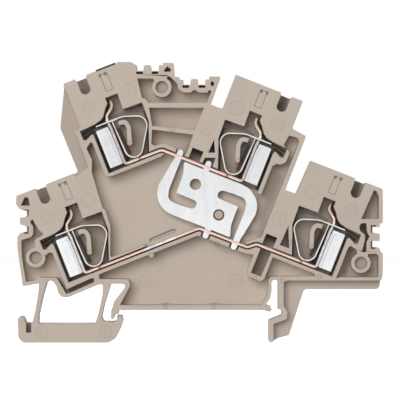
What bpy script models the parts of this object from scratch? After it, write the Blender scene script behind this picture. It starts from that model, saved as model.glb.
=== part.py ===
"""Double level terminal block for a 35 mm rail, seen from its open side.

X runs along the block, +Z is up away from the rail, and the open side faces -Y. The origin is the
middle of the rail seat. Sizes are in millimetres and become metres where a mesh is made.

Each of the four clamps has a frame of its own: u points outwards along the window leg of its
spring and v points up along its sleeve. Outlines beside a clamp are given in that frame, so that a
clamp takes its chamber, its head and its walls with it when it moves.
"""

from math import acos, ceil, cos, hypot, pi, radians, sin, sqrt, tan

import bmesh
import bpy
from mathutils import Matrix, Vector

MM = 0.001

# The moulding
THICKNESS = 5.1
BACK_WALL = 0.7
WEB = 2.4
WALL = 0.9
GAP = 0.3
FLOOR_STEP = 0.02
PIN_CLEARANCE = 0.2

# The rail that the block snaps on
RAIL_WIDTH = 35.0
RAIL_CLEARANCE = 0.24
RAIL_LIP = 1.0
FOOT_DEPTH = 7.1

# Metal
METAL_WIDTH = 3.6
METAL_SHIFT = -0.35
BAR_THICKNESS = 0.55
SPRING_THICKNESS = 0.36
LINK_THICKNESS = 0.8
SLEEVE_WALL = 0.4

# Clamp, in its own frame
TILT = 21.5
BAR_V = -9.92
BAR_LEG_U = 0.575
SLEEVE_IN = 1.02
SLEEVE_OUT = 4.1
SLEEVE_TOP = -0.95
SLEEVE_BOTTOM = -9.6
SIDE_GAP = 0.55
SPRING_TIP_U = 3.6
WINDOW_RIM_U = 1.4
WINDOW_END_U = -3.0
WINDOW_WIDTH = 2.5
TONGUE_WIDTH = 2.0
FUNNEL_U = 2.7
FUNNEL_RADIUS = 2.46
FUNNEL_END_V = 8.4
WIRE_RADIUS = 1.4
DRIVER_DEPTH = 3.3
MARK_DEPTH = 0.12
NOTCH_DEPTH = 0.4
MARK_NOTCHES = (-1.35, -2.6)
RIB_WIDTH = 1.0
RECESS_DEPTH = 0.25
LEDGE_LUG = (-10.6, 12.0, 0.65)
SEAT_BUMP_TOP = 1.28
SEAT_BUMPS = (-7.45, 3.0)
EDGE_STRIP_U = (-5.5, -0.85)
EDGE_STRIP_NEAR = -1.95
EDGE_STRIP_THICKNESS = 0.6

# Bosses, their blind holes and the pins behind them
BOSS_RADIUS = 2.15
BOSS_HOLE_RADIUS = 1.37
BOSS_HOLE_DEPTH = 1.5
PIN_LENGTH = 0.9
BOSSES = ((-8.3, 48.5), (-35.8, 11.4), (35.05, 10.2))

# Level link, along the bars (p) and across them (q), from its middle
LINK_X = 1.55
LINK_LUG_P = 2.57
LINK_TAB_P = 9.2
LINK_LUG_WIDTH = 1.35
LINK_TAB_REACH = 1.6
LINK_HOLE = (3.6, 2.18)
LINK_HOLE_RADIUS = 1.22
LOWER_DROP = 1.38

# The spring's path in its clamp, from the tip of its window leg to the end of its other leg
SPRING_PATH = [(SPRING_TIP_U, 0), (-2.6, 0, 5.0), (-8.16, -1.95, 2.1), (-0.7, -13.6, 1.95), (-0.12, 0.35)]
TONGUE_V = -1.6

# Worked out from the sizes above
NEAR = -THICKNESS / 2
BACK = THICKNESS / 2
FLOOR = BACK - BACK_WALL
BEYOND = NEAR - 1.0
METAL_NEAR = METAL_SHIFT - METAL_WIDTH / 2
METAL_FAR = METAL_SHIFT + METAL_WIDTH / 2
NOTCH_X = RAIL_WIDTH / 2 + RAIL_CLEARANCE
LIP_Z = -RAIL_LIP - RAIL_CLEARANCE
CHAMBER_OUT = SLEEVE_OUT + SIDE_GAP
WALL_OUT = CHAMBER_OUT + WALL
CHAMBER_FLOOR_V = BAR_V - BAR_THICKNESS / 2 - GAP
LEDGE_V = CHAMBER_FLOOR_V - WALL + 0.1
UPPER_WALL_V = BAR_V + BAR_THICKNESS / 2 + GAP + 0.5
C, S = cos(radians(TILT)), sin(radians(TILT))

# Each clamp: where its window leg crosses the bar, which way it leans, and the top of its head
CLAMPS = {
    "upper_left": ((-19.39, 41.23), -1, 11.25),
    "upper_right": ((12.24, 37.46), 1, 11.2),
    "lower_left": ((-28.16, 17.45), -1, 11.2),
    "lower_right": ((28.34, 18.70), 1, 11.3),
}


def at(clamp, u, v):
    """The block's x and z of a point in a clamp's frame."""
    (x, z), side, _ = CLAMPS[clamp]
    return (x + side * (u * C + v * S), z - u * S + v * C)


def along(clamp, points):
    """Clamp points, with any fillet radius, turned into block points."""
    return [(*at(clamp, *point[:2]), *point[2:]) for point in points]


def crossing(a, b, c, d):
    """Where the line through a and b meets the line through c and d."""
    t = (c[0] - a[0]) * (d[1] - c[1]) - (c[1] - a[1]) * (d[0] - c[0])
    t /= (b[0] - a[0]) * (d[1] - c[1]) - (b[1] - a[1]) * (d[0] - c[0])
    return (a[0] + t * (b[0] - a[0]), a[1] + t * (b[1] - a[1]))


# Shapes from outlines

def filleted(points, closed=True):
    """The outline with an arc at each corner whose third number is a radius."""
    result = []
    count = len(points)
    for i, point in enumerate(points):
        here = Vector(point[:2])
        radius = point[2] if len(point) > 2 else 0
        if not radius or not closed and i in (0, count - 1):
            result.append(tuple(here))
            continue
        before = Vector(points[i - 1][:2]) - here
        after = Vector(points[(i + 1) % count][:2]) - here
        turn = acos(max(-1.0, min(1.0, before.normalized().dot(after.normalized()))))
        shares = [0.48 if len(points[k % count]) > 2 else 0.97 for k in (i - 1, i + 1)]
        reach = min(radius / tan(turn / 2), shares[0] * before.length, shares[1] * after.length)
        radius = reach * tan(turn / 2)
        middle = here + (before.normalized() + after.normalized()).normalized() * hypot(reach, radius)
        start = here + before.normalized() * reach - middle
        sweep = pi - turn
        steps = max(2, ceil(sweep / (0.5 if radius < 1 else 0.27)))
        side = 1 if before.x * after.y - before.y * after.x < 0 else -1
        for k in range(steps + 1):
            angle = side * sweep * k / steps
            arm = Matrix.Rotation(angle, 2) @ start
            result.append(tuple(middle + arm))
    return result


def link(obj, collection):
    collection.objects.link(obj)
    return obj


def as_mesh(curve_object, name, collection):
    """A curve made a mesh that stands in the XZ plane, its loose caps welded."""
    mesh = bpy.data.meshes.new_from_object(curve_object)
    mesh.transform(Matrix.Rotation(pi / 2, 4, "X"))
    bpy.data.objects.remove(curve_object)
    mesh.name = name
    work = bmesh.new()
    work.from_mesh(mesh)
    bmesh.ops.remove_doubles(work, verts=work.verts, dist=0.001 * MM)
    work.to_mesh(mesh)
    work.free()
    return link(bpy.data.objects.new(name, mesh), collection)


def flat_curve(name, outlines, cyclic=True):
    curve = bpy.data.curves.new(name, "CURVE")
    curve.dimensions = "2D"
    for outline in outlines:
        spline = curve.splines.new("POLY")
        spline.points.add(len(outline) - 1)
        for point, (x, z) in zip(spline.points, outline):
            point.co = (x * MM, z * MM, 0, 1)
        spline.use_cyclic_u = cyclic
    return curve


def plate(name, outlines, near, far, collection):
    """A flat outline, with any holes in it, made solid from y = near to y = far."""
    curve = flat_curve(name, [filleted(outline) for outline in outlines])
    curve.fill_mode = "BOTH"
    curve.extrude = (far - near) / 2 * MM
    obj = as_mesh(bpy.data.objects.new(name, curve), name, collection)
    obj.data.transform(Matrix.Translation((0, (near + far) / 2 * MM, 0)))
    return obj


def strip(name, path, thickness, near, far, collection):
    """A strip of sheet bent along a path in the XZ plane."""
    curve = flat_curve(name, [filleted(path, closed=False)], cyclic=False)
    curve.fill_mode = "NONE"
    curve.extrude = (far - near) / 2 * MM
    obj = as_mesh(bpy.data.objects.new(name, curve), name, collection)
    obj.data.transform(Matrix.Translation((0, (near + far) / 2 * MM, 0)))
    solid = obj.modifiers.new("Sheet thickness", "SOLIDIFY")
    solid.thickness = thickness * MM
    solid.offset = 0
    solid.use_even_offset = True
    return obj


def turned(name, clamp, u, profile, collection, sides=24):
    """A round cutter along a clamp's v axis, from a profile of (v, radius)."""
    mesh = bpy.data.meshes.new(name)
    work = bmesh.new()
    rings = []
    side = CLAMPS[clamp][1]
    for v, radius in profile:
        ring = []
        for k in range(sides):
            angle = 2 * pi * (k + 0.5) / sides
            x, z = at(clamp, u + radius * cos(angle), v)
            ring.append(work.verts.new((x * MM, (METAL_SHIFT + side * radius * sin(angle)) * MM, z * MM)))
        rings.append(ring)
    for low, high in zip(rings, rings[1:]):
        for k in range(sides):
            work.faces.new((low[k], low[(k + 1) % sides], high[(k + 1) % sides], high[k]))
    work.faces.new(rings[0][::-1])
    work.faces.new(rings[-1])
    bmesh.ops.recalc_face_normals(work, faces=work.faces)
    work.to_mesh(mesh)
    work.free()
    return link(bpy.data.objects.new(name, mesh), collection)


def drum(name, x, z, radius, near, far, collection, sides=28):
    """A cylinder across the block's thickness."""
    mesh = bpy.data.meshes.new(name)
    work = bmesh.new()
    bmesh.ops.create_cone(
        work, cap_ends=True, segments=sides, radius1=radius * MM,
        radius2=radius * MM, depth=(far - near) * MM,
    )
    work.to_mesh(mesh)
    work.free()
    mesh.transform(Matrix.Rotation(pi / 2, 4, "X"))
    mesh.transform(Matrix.Translation((x * MM, (near + far) / 2 * MM, z * MM)))
    return link(bpy.data.objects.new(name, mesh), collection)


def boolean(obj, operation, collection):
    modifier = obj.modifiers.new(operation.title() + " " + collection.name, "BOOLEAN")
    modifier.operation = operation
    modifier.operand_type = "COLLECTION"
    modifier.collection = collection
    modifier.solver = "EXACT"


def material(name, colour, roughness, metallic):
    made = bpy.data.materials.new(name)
    made.use_nodes = True
    shader = made.node_tree.nodes["Principled BSDF"]
    shader.inputs["Base Color"].default_value = (*colour, 1)
    shader.inputs["Roughness"].default_value = roughness
    shader.inputs["Metallic"].default_value = metallic
    made.diffuse_color = (*colour, 1)
    return made


# Paths of the metal, worked out from the clamps

def bar_end(clamp):
    """The turned-up end of a bar, from its wavy tip down to the run beneath the clamp."""
    points = [(-1.45, 4.2), (-1.4, 3.15, 0.8), (-0.9, 2.5, 0.6), (0.5, 1.45, 0.8), (0.85, 0.2, 1.5),
              (BAR_LEG_U, -1.5, 2.0), (BAR_LEG_U, BAR_V, 0.6)]
    return along(clamp, points)


def upper_bar_path():
    bend = crossing(
        at("upper_left", 0, BAR_V), at("upper_left", -1, BAR_V),
        at("upper_right", 0, BAR_V), at("upper_right", -1, BAR_V),
    )
    return bar_end("upper_left") + [(*bend, 1.6)] + bar_end("upper_right")[::-1]


def lower_bar_path():
    low = BAR_V - LOWER_DROP
    bend = crossing(
        at("lower_left", 0, BAR_V), at("lower_left", -1, BAR_V),
        at("lower_right", 0, low), at("lower_right", -1, low),
    )
    joggle = along("lower_right", [(-14.9, low, 1.2), (-13.3, BAR_V, 1.2)])
    return bar_end("lower_left") + [(*bend, 1.6)] + joggle + bar_end("lower_right")[::-1]


def link_middle():
    """The middle of the level link: halfway between the two bars, at LINK_X."""
    upper = crossing(
        at("upper_right", 0, BAR_V), at("upper_right", -1, BAR_V), (LINK_X, 0), (LINK_X, 1),
    )
    low = BAR_V - LOWER_DROP
    lower = crossing(
        at("lower_right", 0, low), at("lower_right", -1, low), (LINK_X, 0), (LINK_X, 1),
    )
    return (LINK_X, (upper[1] + lower[1]) / 2), (upper[1] - lower[1]) / 2 * C


def on_link(p, q, *radius):
    """A point along the bars and across them, from the middle of the level link."""
    (x, z), _ = link_middle()
    return (x + p * C + q * S, z - p * S + q * C, *radius)


def link_outline():
    """The S-shaped plate: one half, and the same half turned by half a turn."""
    _, bar_q = link_middle()
    edge = bar_q - BAR_THICKNESS / 2 - GAP
    tip = bar_q + BAR_THICKNESS / 2 + LINK_TAB_REACH - 0.25
    lug, half = LINK_LUG_P, LINK_LUG_WIDTH / 2
    tab = LINK_TAB_P
    half_outline = [
        (-lug - half, edge, 0.15), (-lug - half, tip, 0.6), (-lug + half, tip, 0.6),
        (-lug + half, edge, 0.15), (11.1, edge, 5.2), (11.06, 0.7), (9.95, -edge, 0.3),
        (tab + half, -tip, 0.6), (tab - half, -tip, 0.6), (8.5, -edge, 0.2), (8.55, 0.9, 2.3),
        (8.0, 3.2, 1.6), (5.0, 3.3, 2.0), (1.75, 3.0, 0.95), (1.75, 1.2, 0.9), (6.85, 1.1, 0.25),
        (6.93, -3.3, 1.0), (7.75, -edge, 0.3),
    ]
    return [on_link(*point) for point in half_outline] + [
        on_link(-point[0], -point[1], *point[2:]) for point in half_outline
    ]


def link_slots(name, collection):
    """The slots in both bars that the tabs and lugs of the level link pass through."""
    _, bar_q = link_middle()
    half = LINK_LUG_WIDTH / 2 + PIN_CLEARANCE
    depth = BAR_THICKNESS / 2 + 0.4
    near, far = link_faces()
    for side in (1, -1):
        for p in (-side * LINK_LUG_P, side * LINK_TAB_P):
            p = -p if abs(p) == LINK_TAB_P else p
            corners = [(p - half, side * bar_q - depth), (p + half, side * bar_q - depth),
                       (p + half, side * bar_q + depth), (p - half, side * bar_q + depth)]
            plate(f"{name} {side} {p:.1f}", [[on_link(*c) for c in corners]],
                  near - PIN_CLEARANCE, far + PIN_CLEARANCE, collection)


def link_faces():
    return METAL_SHIFT - LINK_THICKNESS / 2, METAL_SHIFT + LINK_THICKNESS / 2


# The moulding's outlines

def head_top(clamp, inner, outer):
    """The top edge of a head, with the shallow dip of its wire funnel."""
    top = CLAMPS[clamp][2]
    left, right = FUNNEL_U - 1.3, FUNNEL_U + 1.3
    points = [(inner, top), (left, top), (left, top - 0.3), (right, top - 0.3), (right, top), outer]
    points = along(clamp, points)
    return points if CLAMPS[clamp][1] > 0 else points[::-1]


def outer_outline():
    """The silhouette, clockwise from the lower left corner of the body."""
    left_end = [
        (-38.65, 5.15, 0.5), (-39.75, 13.6), (-39.75, 15.95, 0.25), (-39.2, 16.7, 0.2),
        (-38.05, 17.05), (-38.05, 18.35), (-39.2, 18.7, 0.25), (-39.2, 20.15, 0.25), (-38.05, 20.15),
        (-38.05, 21.55), (-39.3, 22.05, 0.3), (-40.05, 22.95, 0.3),
    ]
    lower_left_head = head_top("lower_left", -5.7, (8.3, CLAMPS["lower_left"][2], 0.2))
    wing = [(-26.8, 30.35, 0.2), (-30.6, 39.7, 1.5)]
    upper_left_head = head_top("upper_left", -5.75, (6.6, CLAMPS["upper_left"][2], 0.15))
    marker_rail = [
        (-17.9, 54.0, 0.4), (-15.1, 54.0, 0.4), (-13.8, 53.3, 0.2), (-13.75, 52.1), (-12.35, 52.1),
        (-12.15, 53.3, 0.25), (-10.75, 53.3, 0.25), (-10.6, 52.1), (-8.95, 52.1), (-8.95, 53.3, 0.2),
        (-8.05, 53.3), (-8.05, 53.8, 0.2), (-5.75, 53.8, 0.3), (-5.5, 50.75), (-4.6, 50.75, 0.2),
        (-4.3, 50.15), (-3.65, 50.15, 0.2), (-3.55, 49.1), (-2.1, 49.1), (-1.95, 50.3, 0.3),
        (-0.45, 50.3, 0.3), (-0.35, 49.1), (1.1, 49.1), (1.15, 50.2, 0.15), (1.95, 50.2),
        (2.05, 50.85, 0.15), (4.5, 50.85, 0.2),
    ]
    upper_slot = [(2.3, 44.8, 0.2), at("upper_right", -9.2, 3.15) + (0.5,)]
    upper_right_head = head_top("upper_right", -9.2, (6.5, CLAMPS["upper_right"][2], 0.15))
    upper_right_side = along("upper_right", [(6.55, 4.75, 0.4), (9.95, 4.35, 0.35)])
    middle_slot = [(18.55, 26.15, 0.2), (20.95, 25.3, 0.4)]
    lower_right_head = head_top("lower_right", -8.95, (7.85, CLAMPS["lower_right"][2], 0.35))
    right_end = [
        (39.8, 19.0, 0.3), (39.15, 18.8, 0.15), (39.1, 18.05, 0.1), (37.9, 18.05), (37.9, 16.75),
        (39.15, 16.6, 0.3), (39.15, 15.05, 0.3), (37.9, 15.05), (37.9, 13.6), (39.05, 13.55, 0.2),
        (39.2, 12.85), (39.8, 12.3, 0.25), (39.8, 7.3), (39.5, 6.4), (39.3, 4.4, 0.9),
        (22.8, 4.4, 1.0),
    ]
    right_foot = [
        (19.5, -5.65, 0.4), (17.2, -6.25), (15.5, -FOOT_DEPTH, 0.5), (14.95, -6.8, 0.3),
        (14.95, -2.25, 0.3), (NOTCH_X + 0.1, LIP_Z + 0.15, 0.3), (NOTCH_X + 0.1, 0.0, 0.35),
        (17.0, 0.15, 0.1), (17.0, 6.55, 0.65), (15.6, 6.55, 0.65), (15.65, 4.3), (15.3, 2.6, 1.0),
        (14.35, 1.1, 0.15), (15.3, 0.85, 0.15), (15.7, 0.1, 0.3), (15.3, -0.35, 0.25),
        (14.5, -0.3, 0.3), (13.9, 0.0),
    ]
    body_hook = [
        (-15.7, 0.0), (-16.6, -0.1), (-17.4, 0.05), (-NOTCH_X + 0.05, -0.25),
        (-NOTCH_X, -0.85), (-18.55, -1.05, 0.2), (-18.85, -1.95, 0.15), (-19.4, -1.95, 0.2),
        (-19.35, -0.2), (-18.7, 1.9, 1.5), (-16.35, 5.0, 0.35), (-16.55, 5.7, 0.3), (-19.4, 5.7, 0.15),
    ]
    left_foot = [
        (-20.9, 0.9, 3.0), (-21.4, -1.5), (-21.1, -2.55, 0.6), (-18.6, -2.6, 0.6),
        (-18.1, -2.0, 0.2), (-18.1, LIP_Z, 0.1), (-17.0, LIP_Z, 0.25), (-16.75, -2.3),
        (-17.25, -3.9, 3.0), (-18.4, -6.2, 1.5), (-19.9, -FOOT_DEPTH, 1.2), (-38.6, -FOOT_DEPTH, 0.8),
        (-39.55, -6.0, 0.9), (-39.7, -2.0), (-39.5, -1.45, 0.5), (-38.55, -1.45, 0.5), (-37.9, -2.95),
        (-36.75, -2.95, 0.15), (-36.35, -2.2), (-35.75, 0.5), (-35.2, 4.0), (-35.1, 5.75),
    ]
    return (
        left_end + lower_left_head + wing + upper_left_head + marker_rail + upper_slot
        + upper_right_head + upper_right_side + middle_slot + lower_right_head + right_end
        + right_foot + body_hook + left_foot
    )


FOOT_HOLE = [
    (-35.25, -3.0, 0.2), (-35.2, -1.2), (-34.3, 2.9), (-33.45, 5.8, 0.5), (-33.05, 6.4, 0.4),
    (-32.0, 6.35, 0.8), (-31.3, 5.2), (-30.8, 3.6, 0.8), (-30.0, 2.75, 0.8), (-28.6, 2.8, 1.0),
    (-22.3, 5.45), (-21.2, 5.65, 0.35), (-21.25, 3.3), (-22.1, -0.6), (-22.85, -3.0, 0.15),
]


def chamber(clamp):
    """The room that holds a spring, a sleeve and the end of a bar."""
    tip_pocket = [(7.15, 0.3), (7.15, -1.75, 0.25), (6.6, -2.05, 0.25), (4.95, -1.2, 0.15)]
    outside = [(CHAMBER_OUT, -1.75), (CHAMBER_OUT, CHAMBER_FLOOR_V)]
    inside = [(-4.9, CHAMBER_FLOOR_V), (-5.2, -9.5), (-6.85, -5.0), (-7.6, -3.15), (-7.75, 1.25)]
    tip_slot = [(-3.35, 1.35), (-3.45, 5.05), (-0.65, 5.05), (-0.65, 3.8), (0.2, 2.9), (1.2, 1.5)]
    head_edge = [(2.0, 0.9), (3.7, 0.5)]
    return along(clamp, tip_pocket + outside + inside + tip_slot + head_edge)


def middle_pocket():
    """The wide pocket between the levels, which also holds the level link."""
    low = BAR_V - LOWER_DROP
    beside_upper_left = along("upper_left", [
        (7.15, -3.7, 0.15), (5.9, -2.75, 0.2), (WALL_OUT, -3.1), (WALL_OUT, LEDGE_V, 1.2),
        (-7.0, LEDGE_V), (-8.1, LEDGE_V + 0.3), (-8.3, BAR_V),
    ])
    below_upper_right = along("upper_right", [
        (-16.0, BAR_V), (CHAMBER_OUT, BAR_V), (CHAMBER_OUT, -11.2, 0.15), (WALL_OUT, -11.1, 0.3),
        (WALL_OUT, -4.3), (6.3, -3.6, 0.15), (7.0, -3.55, 0.3), (8.0, -2.6, 0.6), (8.0, -0.3, 0.8),
        (6.15, 0.8), (6.5, 3.1, 0.25), (8.4, 3.35, 0.4), (9.0, 2.6, 0.3), (9.0, -19.7),
    ])
    above_lower_bar = [
        (12.7, 15.75, 0.3), (11.6, 15.45, 0.5), (10.5, 15.0, 0.3), (9.95, 14.75, 0.2), (9.95, 14.0),
        at("lower_right", -15.9, low + 0.1),
    ]
    bend = lower_bar_path()[7][:2]
    above_left_run = along("lower_left", [
        (-13.9, BAR_V), (-13.9, UPPER_WALL_V), (-6.0, UPPER_WALL_V + 0.05), (-6.0, -8.3),
    ])
    left_side = [(-19.5, 18.3, 0.6), (-20.6, 21.8, 0.4)] + along(
        "lower_left", [(-8.2, 1.9, 0.2), (-8.9, 10.1)]
    )
    wing_wall = along("upper_left", [(6.95, -6.5)])
    run = [at("lower_right", -16.6, low), bend]
    return (
        beside_upper_left + below_upper_right + above_lower_bar + run + above_left_run + left_side
        + wing_wall
    )


def lower_pocket():
    """The pocket between the lower bar and the rail seat."""
    low_ledge = LEDGE_V - LOWER_DROP - 0.1
    below_left_run = along("lower_left", [(-2.2, LEDGE_V), (-25.2, LEDGE_V)])
    below_middle = along("lower_right", [(-24.0, low_ledge), (-15.9, low_ledge), (-14.2, -12.6, 0.4)])
    around_deep_pocket = along("lower_right", [
        (-13.1, -12.3), (-13.1, -16.3, 0.8), (-12.2, -17.1, 0.3), (-9.5, -17.2, 0.7), (-8.95, -16.4),
        (-8.95, LEDGE_V), (0.8, LEDGE_V),
    ])
    rest = [
        (25.1, 7.35), (15.5, 7.3, 0.5), (14.9, 6.6), (14.85, 4.6), (14.6, 3.2, 1.5), (13.4, 1.05),
        (-17.45, 1.05, 0.15), (-15.25, 5.2, 0.6), (-15.35, 6.3, 0.5), (-16.0, 6.75, 0.3),
        (-21.9, 6.75, 0.15),
    ]
    return below_left_run + below_middle + around_deep_pocket + rest


def lower_left_pocket():
    """The pocket outside the lower left clamp, round its boss."""
    rib = along("lower_left", [(WALL_OUT, -3.2, 0.3), (WALL_OUT, -10.5), (5.6, -12.5, 0.2), (5.9, -12.8)])
    return [
        (-38.9, 15.2, 0.1), (-36.9, 15.8, 0.4), (-36.3, 16.5, 0.4), (-36.3, 18.1, 0.5), (-37.0, 19.2, 0.2),
        (-36.5, 19.8, 0.2), (-35.2, 17.5), (-34.15, 16.6), (-34.4, 16.1), (-35.3, 15.8),
        (-35.95, 15.2, 0.5), (-35.95, 13.0), (-35.0, 12.0), (-33.4, 12.0), (-33.1, 12.5), *rib,
        (-31.2, 7.0, 0.4), (-35.0, 7.1, 0.4), (-36.0, 6.45), (-37.9, 6.1, 0.3), (-38.45, 9.5),
        (-38.85, 12.5),
    ]


def lower_right_pocket():
    """The pocket outside the lower right clamp, round its boss."""
    rib = along("lower_right", [(WALL_OUT, -10.6), (WALL_OUT, -3.3), (5.9, -2.75, 0.15)])
    return rib + [
        (34.0, 13.2, 0.3), (34.25, 12.5, 0.2), (33.9, 11.8), (36.5, 11.5), (36.7, 12.2, 0.2),
        (38.4, 12.25, 0.4), (38.85, 11.7), (38.85, 7.15, 0.3), (30.3, 7.15, 0.3),
    ]


def top_pockets():
    """The pockets between the marker rails and the upper bar."""
    edge = at("upper_right", -12.9, 0)
    below_rail = [
        (-13.65, 50.4), (-10.3, 50.4), (-9.6, 49.4), (-7.6, 49.6), (-7.1, 50.8, 0.2), (-6.6, 50.85, 0.2),
        (-5.1, 49.4, 0.4), (-4.6, 47.9, 0.6), (-3.6, 47.35, 0.4), (-2.0, 47.35, 0.3),
        (-1.4, 47.9, 0.2), (-0.95, 47.9, 0.2), (-0.3, 47.35, 0.3), (1.6, 47.3, 0.2), (2.0, 47.9, 0.15),
        (2.5, 47.7, 0.15), (1.55, 45.15), (-11.2, 45.15, 0.3), (-11.9, 46.0, 0.3), (-12.6, 46.2, 0.2),
    ]
    between_ribs = [(-11.1, 44.05), (0.85, 44.05), (-1.05, 39.15), (-10.4, 40.1)]
    above_bar = [
        (-10.4, 39.3), (-1.5, 38.2), (-2.75, 34.6), at("upper_right", -13.2, BAR_V + 0.2),
        at("upper_right", -15.2, BAR_V + 0.2), (-5.25, 34.4), (-5.25, 35.25), (-6.6, 35.9, 0.8),
        (-8.3, 36.3, 0.8), (-9.8, 35.75), (-10.6, 36.2),
    ]
    return [below_rail, between_ribs, above_bar]


def rail_slot(x, z):
    """A small slot with round ends in the foot of a marker rail."""
    return [(x + a * 0.75, z + b * 0.25, 0.24) for a, b in ((-1, 1), (1, 1), (1, -1), (-1, -1))]


def small_pockets():
    """Name and outline of each small blind pocket beside the clamps and in the ribs."""
    square = [(-12.1, BAR_V), (-9.6, BAR_V), (-9.6, -7.0), (-12.1, -7.0)]
    return {
        "square upper": along("upper_right", square),
        "square lower": along(
            "lower_right", [(-12.15, -7.0), (-9.6, -7.0), (-9.87, -16.15), (-12.15, -16.15)]
        ),
        "triangle upper": along("upper_right", [(-8.4, -3.7), (-8.55, -6.8), (-7.2, -6.25)]),
        "gate upper": along("upper_right", [(-8.9, BAR_V), (-6.6, BAR_V), (-6.65, -7.25), (-8.8, -8.1)]),
        "triangle lower": along("lower_right", [(-8.3, -3.6), (-8.5, -8.2), (-6.3, -8.2)]),
        "ledge slot": [
            (-29.65, 4.2, 0.1), (-29.0, 3.65, 0.1), (-28.4, 3.7), (-23.1, 6.05, 0.1), (-23.05, 6.9, 0.15),
            (-23.8, 6.85),
        ],
        "left end hole": [(-38.2, 24.6), (-37.4, 24.4), (-37.05, 22.75), (-38.95, 22.75), (-38.5, 23.9)],
        "right end sliver": [
            (35.05, 18.8, 0.2), (36.25, 19.0, 0.4), (36.3, 17.2), (36.95, 15.95), (36.3, 14.9),
            (36.25, 12.7, 0.3), (35.25, 12.75, 0.2), (35.95, 15.2), (35.9, 16.4), (34.9, 17.2, 0.2),
            (34.7, 18.1, 0.2),
        ],
        "right end triangle": [
            (37.9, 26.1, 0.15), (38.5, 25.8, 0.2), (38.95, 24.7), (38.95, 19.85, 0.1), (35.15, 19.85, 0.1),
        ],
        "rail hole left": [(-7.15, 53.1, 0.15), (-6.3, 52.4, 0.15), (-6.5, 51.9), (-7.95, 51.9, 0.15)],
        "rail hole right": [(2.45, 49.95, 0.25), (3.1, 49.5, 0.25), (2.95, 48.7, 0.25), (2.3, 48.9, 0.25)],
        "foot notch": [(-37.9, -2.7), (-36.75, -2.7), (-36.75, -5.0, 0.35), (-37.9, -5.0, 0.35)],
        "slot 1": rail_slot(-13.15, 51.65),
        "slot 2": rail_slot(-9.8, 51.65),
        "slot 3": rail_slot(-3.1, 48.65),
        "slot 4": rail_slot(0.45, 48.65),
        "slot 5": [(-38.3, 20.4), (-38.3, 21.85), (-37.3, 21.85, 0.15), (-37.3, 20.4, 0.15)],
        "slot 6": [(-38.3, 16.6), (-38.3, 18.2), (-37.3, 18.2, 0.15), (-37.3, 16.6, 0.15)],
        "slot 7": [(38.2, 16.8), (38.2, 18.45), (37.2, 18.45, 0.15), (37.2, 16.8, 0.15)],
        "slot 8": [(38.2, 13.3), (38.2, 15.0), (37.2, 15.0, 0.15), (37.2, 13.3, 0.15)],
    }


def tab_pockets():
    """Room in the ledges for the ends of the link's tabs and lugs."""
    _, bar_q = link_middle()
    half = LINK_LUG_WIDTH / 2 + 0.35
    reach = bar_q + BAR_THICKNESS / 2 + LINK_TAB_REACH + GAP
    outlines = []
    for p, side in ((LINK_LUG_P, -1), (LINK_TAB_P, -1)):
        low, high = side * (bar_q - 0.3), side * reach
        corners = [(p - half, low), (p + half, low), (p + half, high), (p - half, high)]
        outlines.append([on_link(*corner) for corner in corners])
    return outlines


def web_pockets():
    """The open webs of the right foot and of the left wing."""
    right = [
        (18.25, 0.9), (18.25, 6.0, 0.4), (19.0, 6.4), (41.0, 6.4), (41.0, 3.0), (24.0, 3.0),
        (22.0, -9.0), (16.05, -9.0), (16.05, -3.05), (18.95, -2.0, 0.3), (19.05, -0.3),
    ]
    left = along("upper_left", [
        (6.7, 10.6), (6.7, 1.2), (8.15, 0.4), (8.3, -7.6, 0.3), (11.6, -8.6), (14.0, 0.0), (9.0, 13.0),
    ])
    return right, left


def sink(name, outline, level, collection):
    """A pocket cutter. Pockets that cross each other have floors a hair apart, one level each."""
    return plate(name, [outline], BEYOND - 0.1 * level, FLOOR - FLOOR_STEP * level, collection)


def cut_pockets(collection):
    """Every blind opening in the near face, down to the back wall."""
    for clamp in CLAMPS:
        sink("chamber " + clamp, chamber(clamp), 0, collection)
    for i, outline in enumerate((middle_pocket(), lower_pocket(), lower_left_pocket(), lower_right_pocket())):
        sink(f"wide pocket {i}", outline, 1, collection)
    for i, outline in enumerate(top_pockets()):
        sink(f"top pocket {i}", outline, 5, collection)
    for name, outline in small_pockets().items():
        sink(name, outline, 3, collection)
    for i, outline in enumerate(tab_pockets()):
        sink(f"tab pocket {i}", outline, 4, collection)
    for i, outline in enumerate(web_pockets()):
        plate(f"web pocket {i}", [outline], BEYOND - 0.5, BACK - WEB, collection)
    room = BAR_THICKNESS + 2 * GAP
    near, far = BEYOND - 0.2, FLOOR - FLOOR_STEP * 2
    strip("upper bar channel", upper_bar_path(), room, near, far, collection)
    strip("lower bar channel", lower_bar_path(), room, near, far, collection)


def hook_rib(clamp, collection):
    """The hooked rib inside a spring's loop, with a round pad at its end."""
    path = [(-1.35, -1.12), (-2.8, -1.3, 0.8), (-3.1, -2.7, 2.0), (-2.55, -4.4, 4.0), (-2.05, -6.0)]
    strip("hook " + clamp, along(clamp, path), RIB_WIDTH, NEAR + 0.1, FLOOR + 0.2, collection)
    x, z = at(clamp, *path[-1])
    drum("hook pad " + clamp, x, z, RIB_WIDTH / 2 + 0.1, NEAR + 0.13, FLOOR + 0.25, collection, sides=20)


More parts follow.
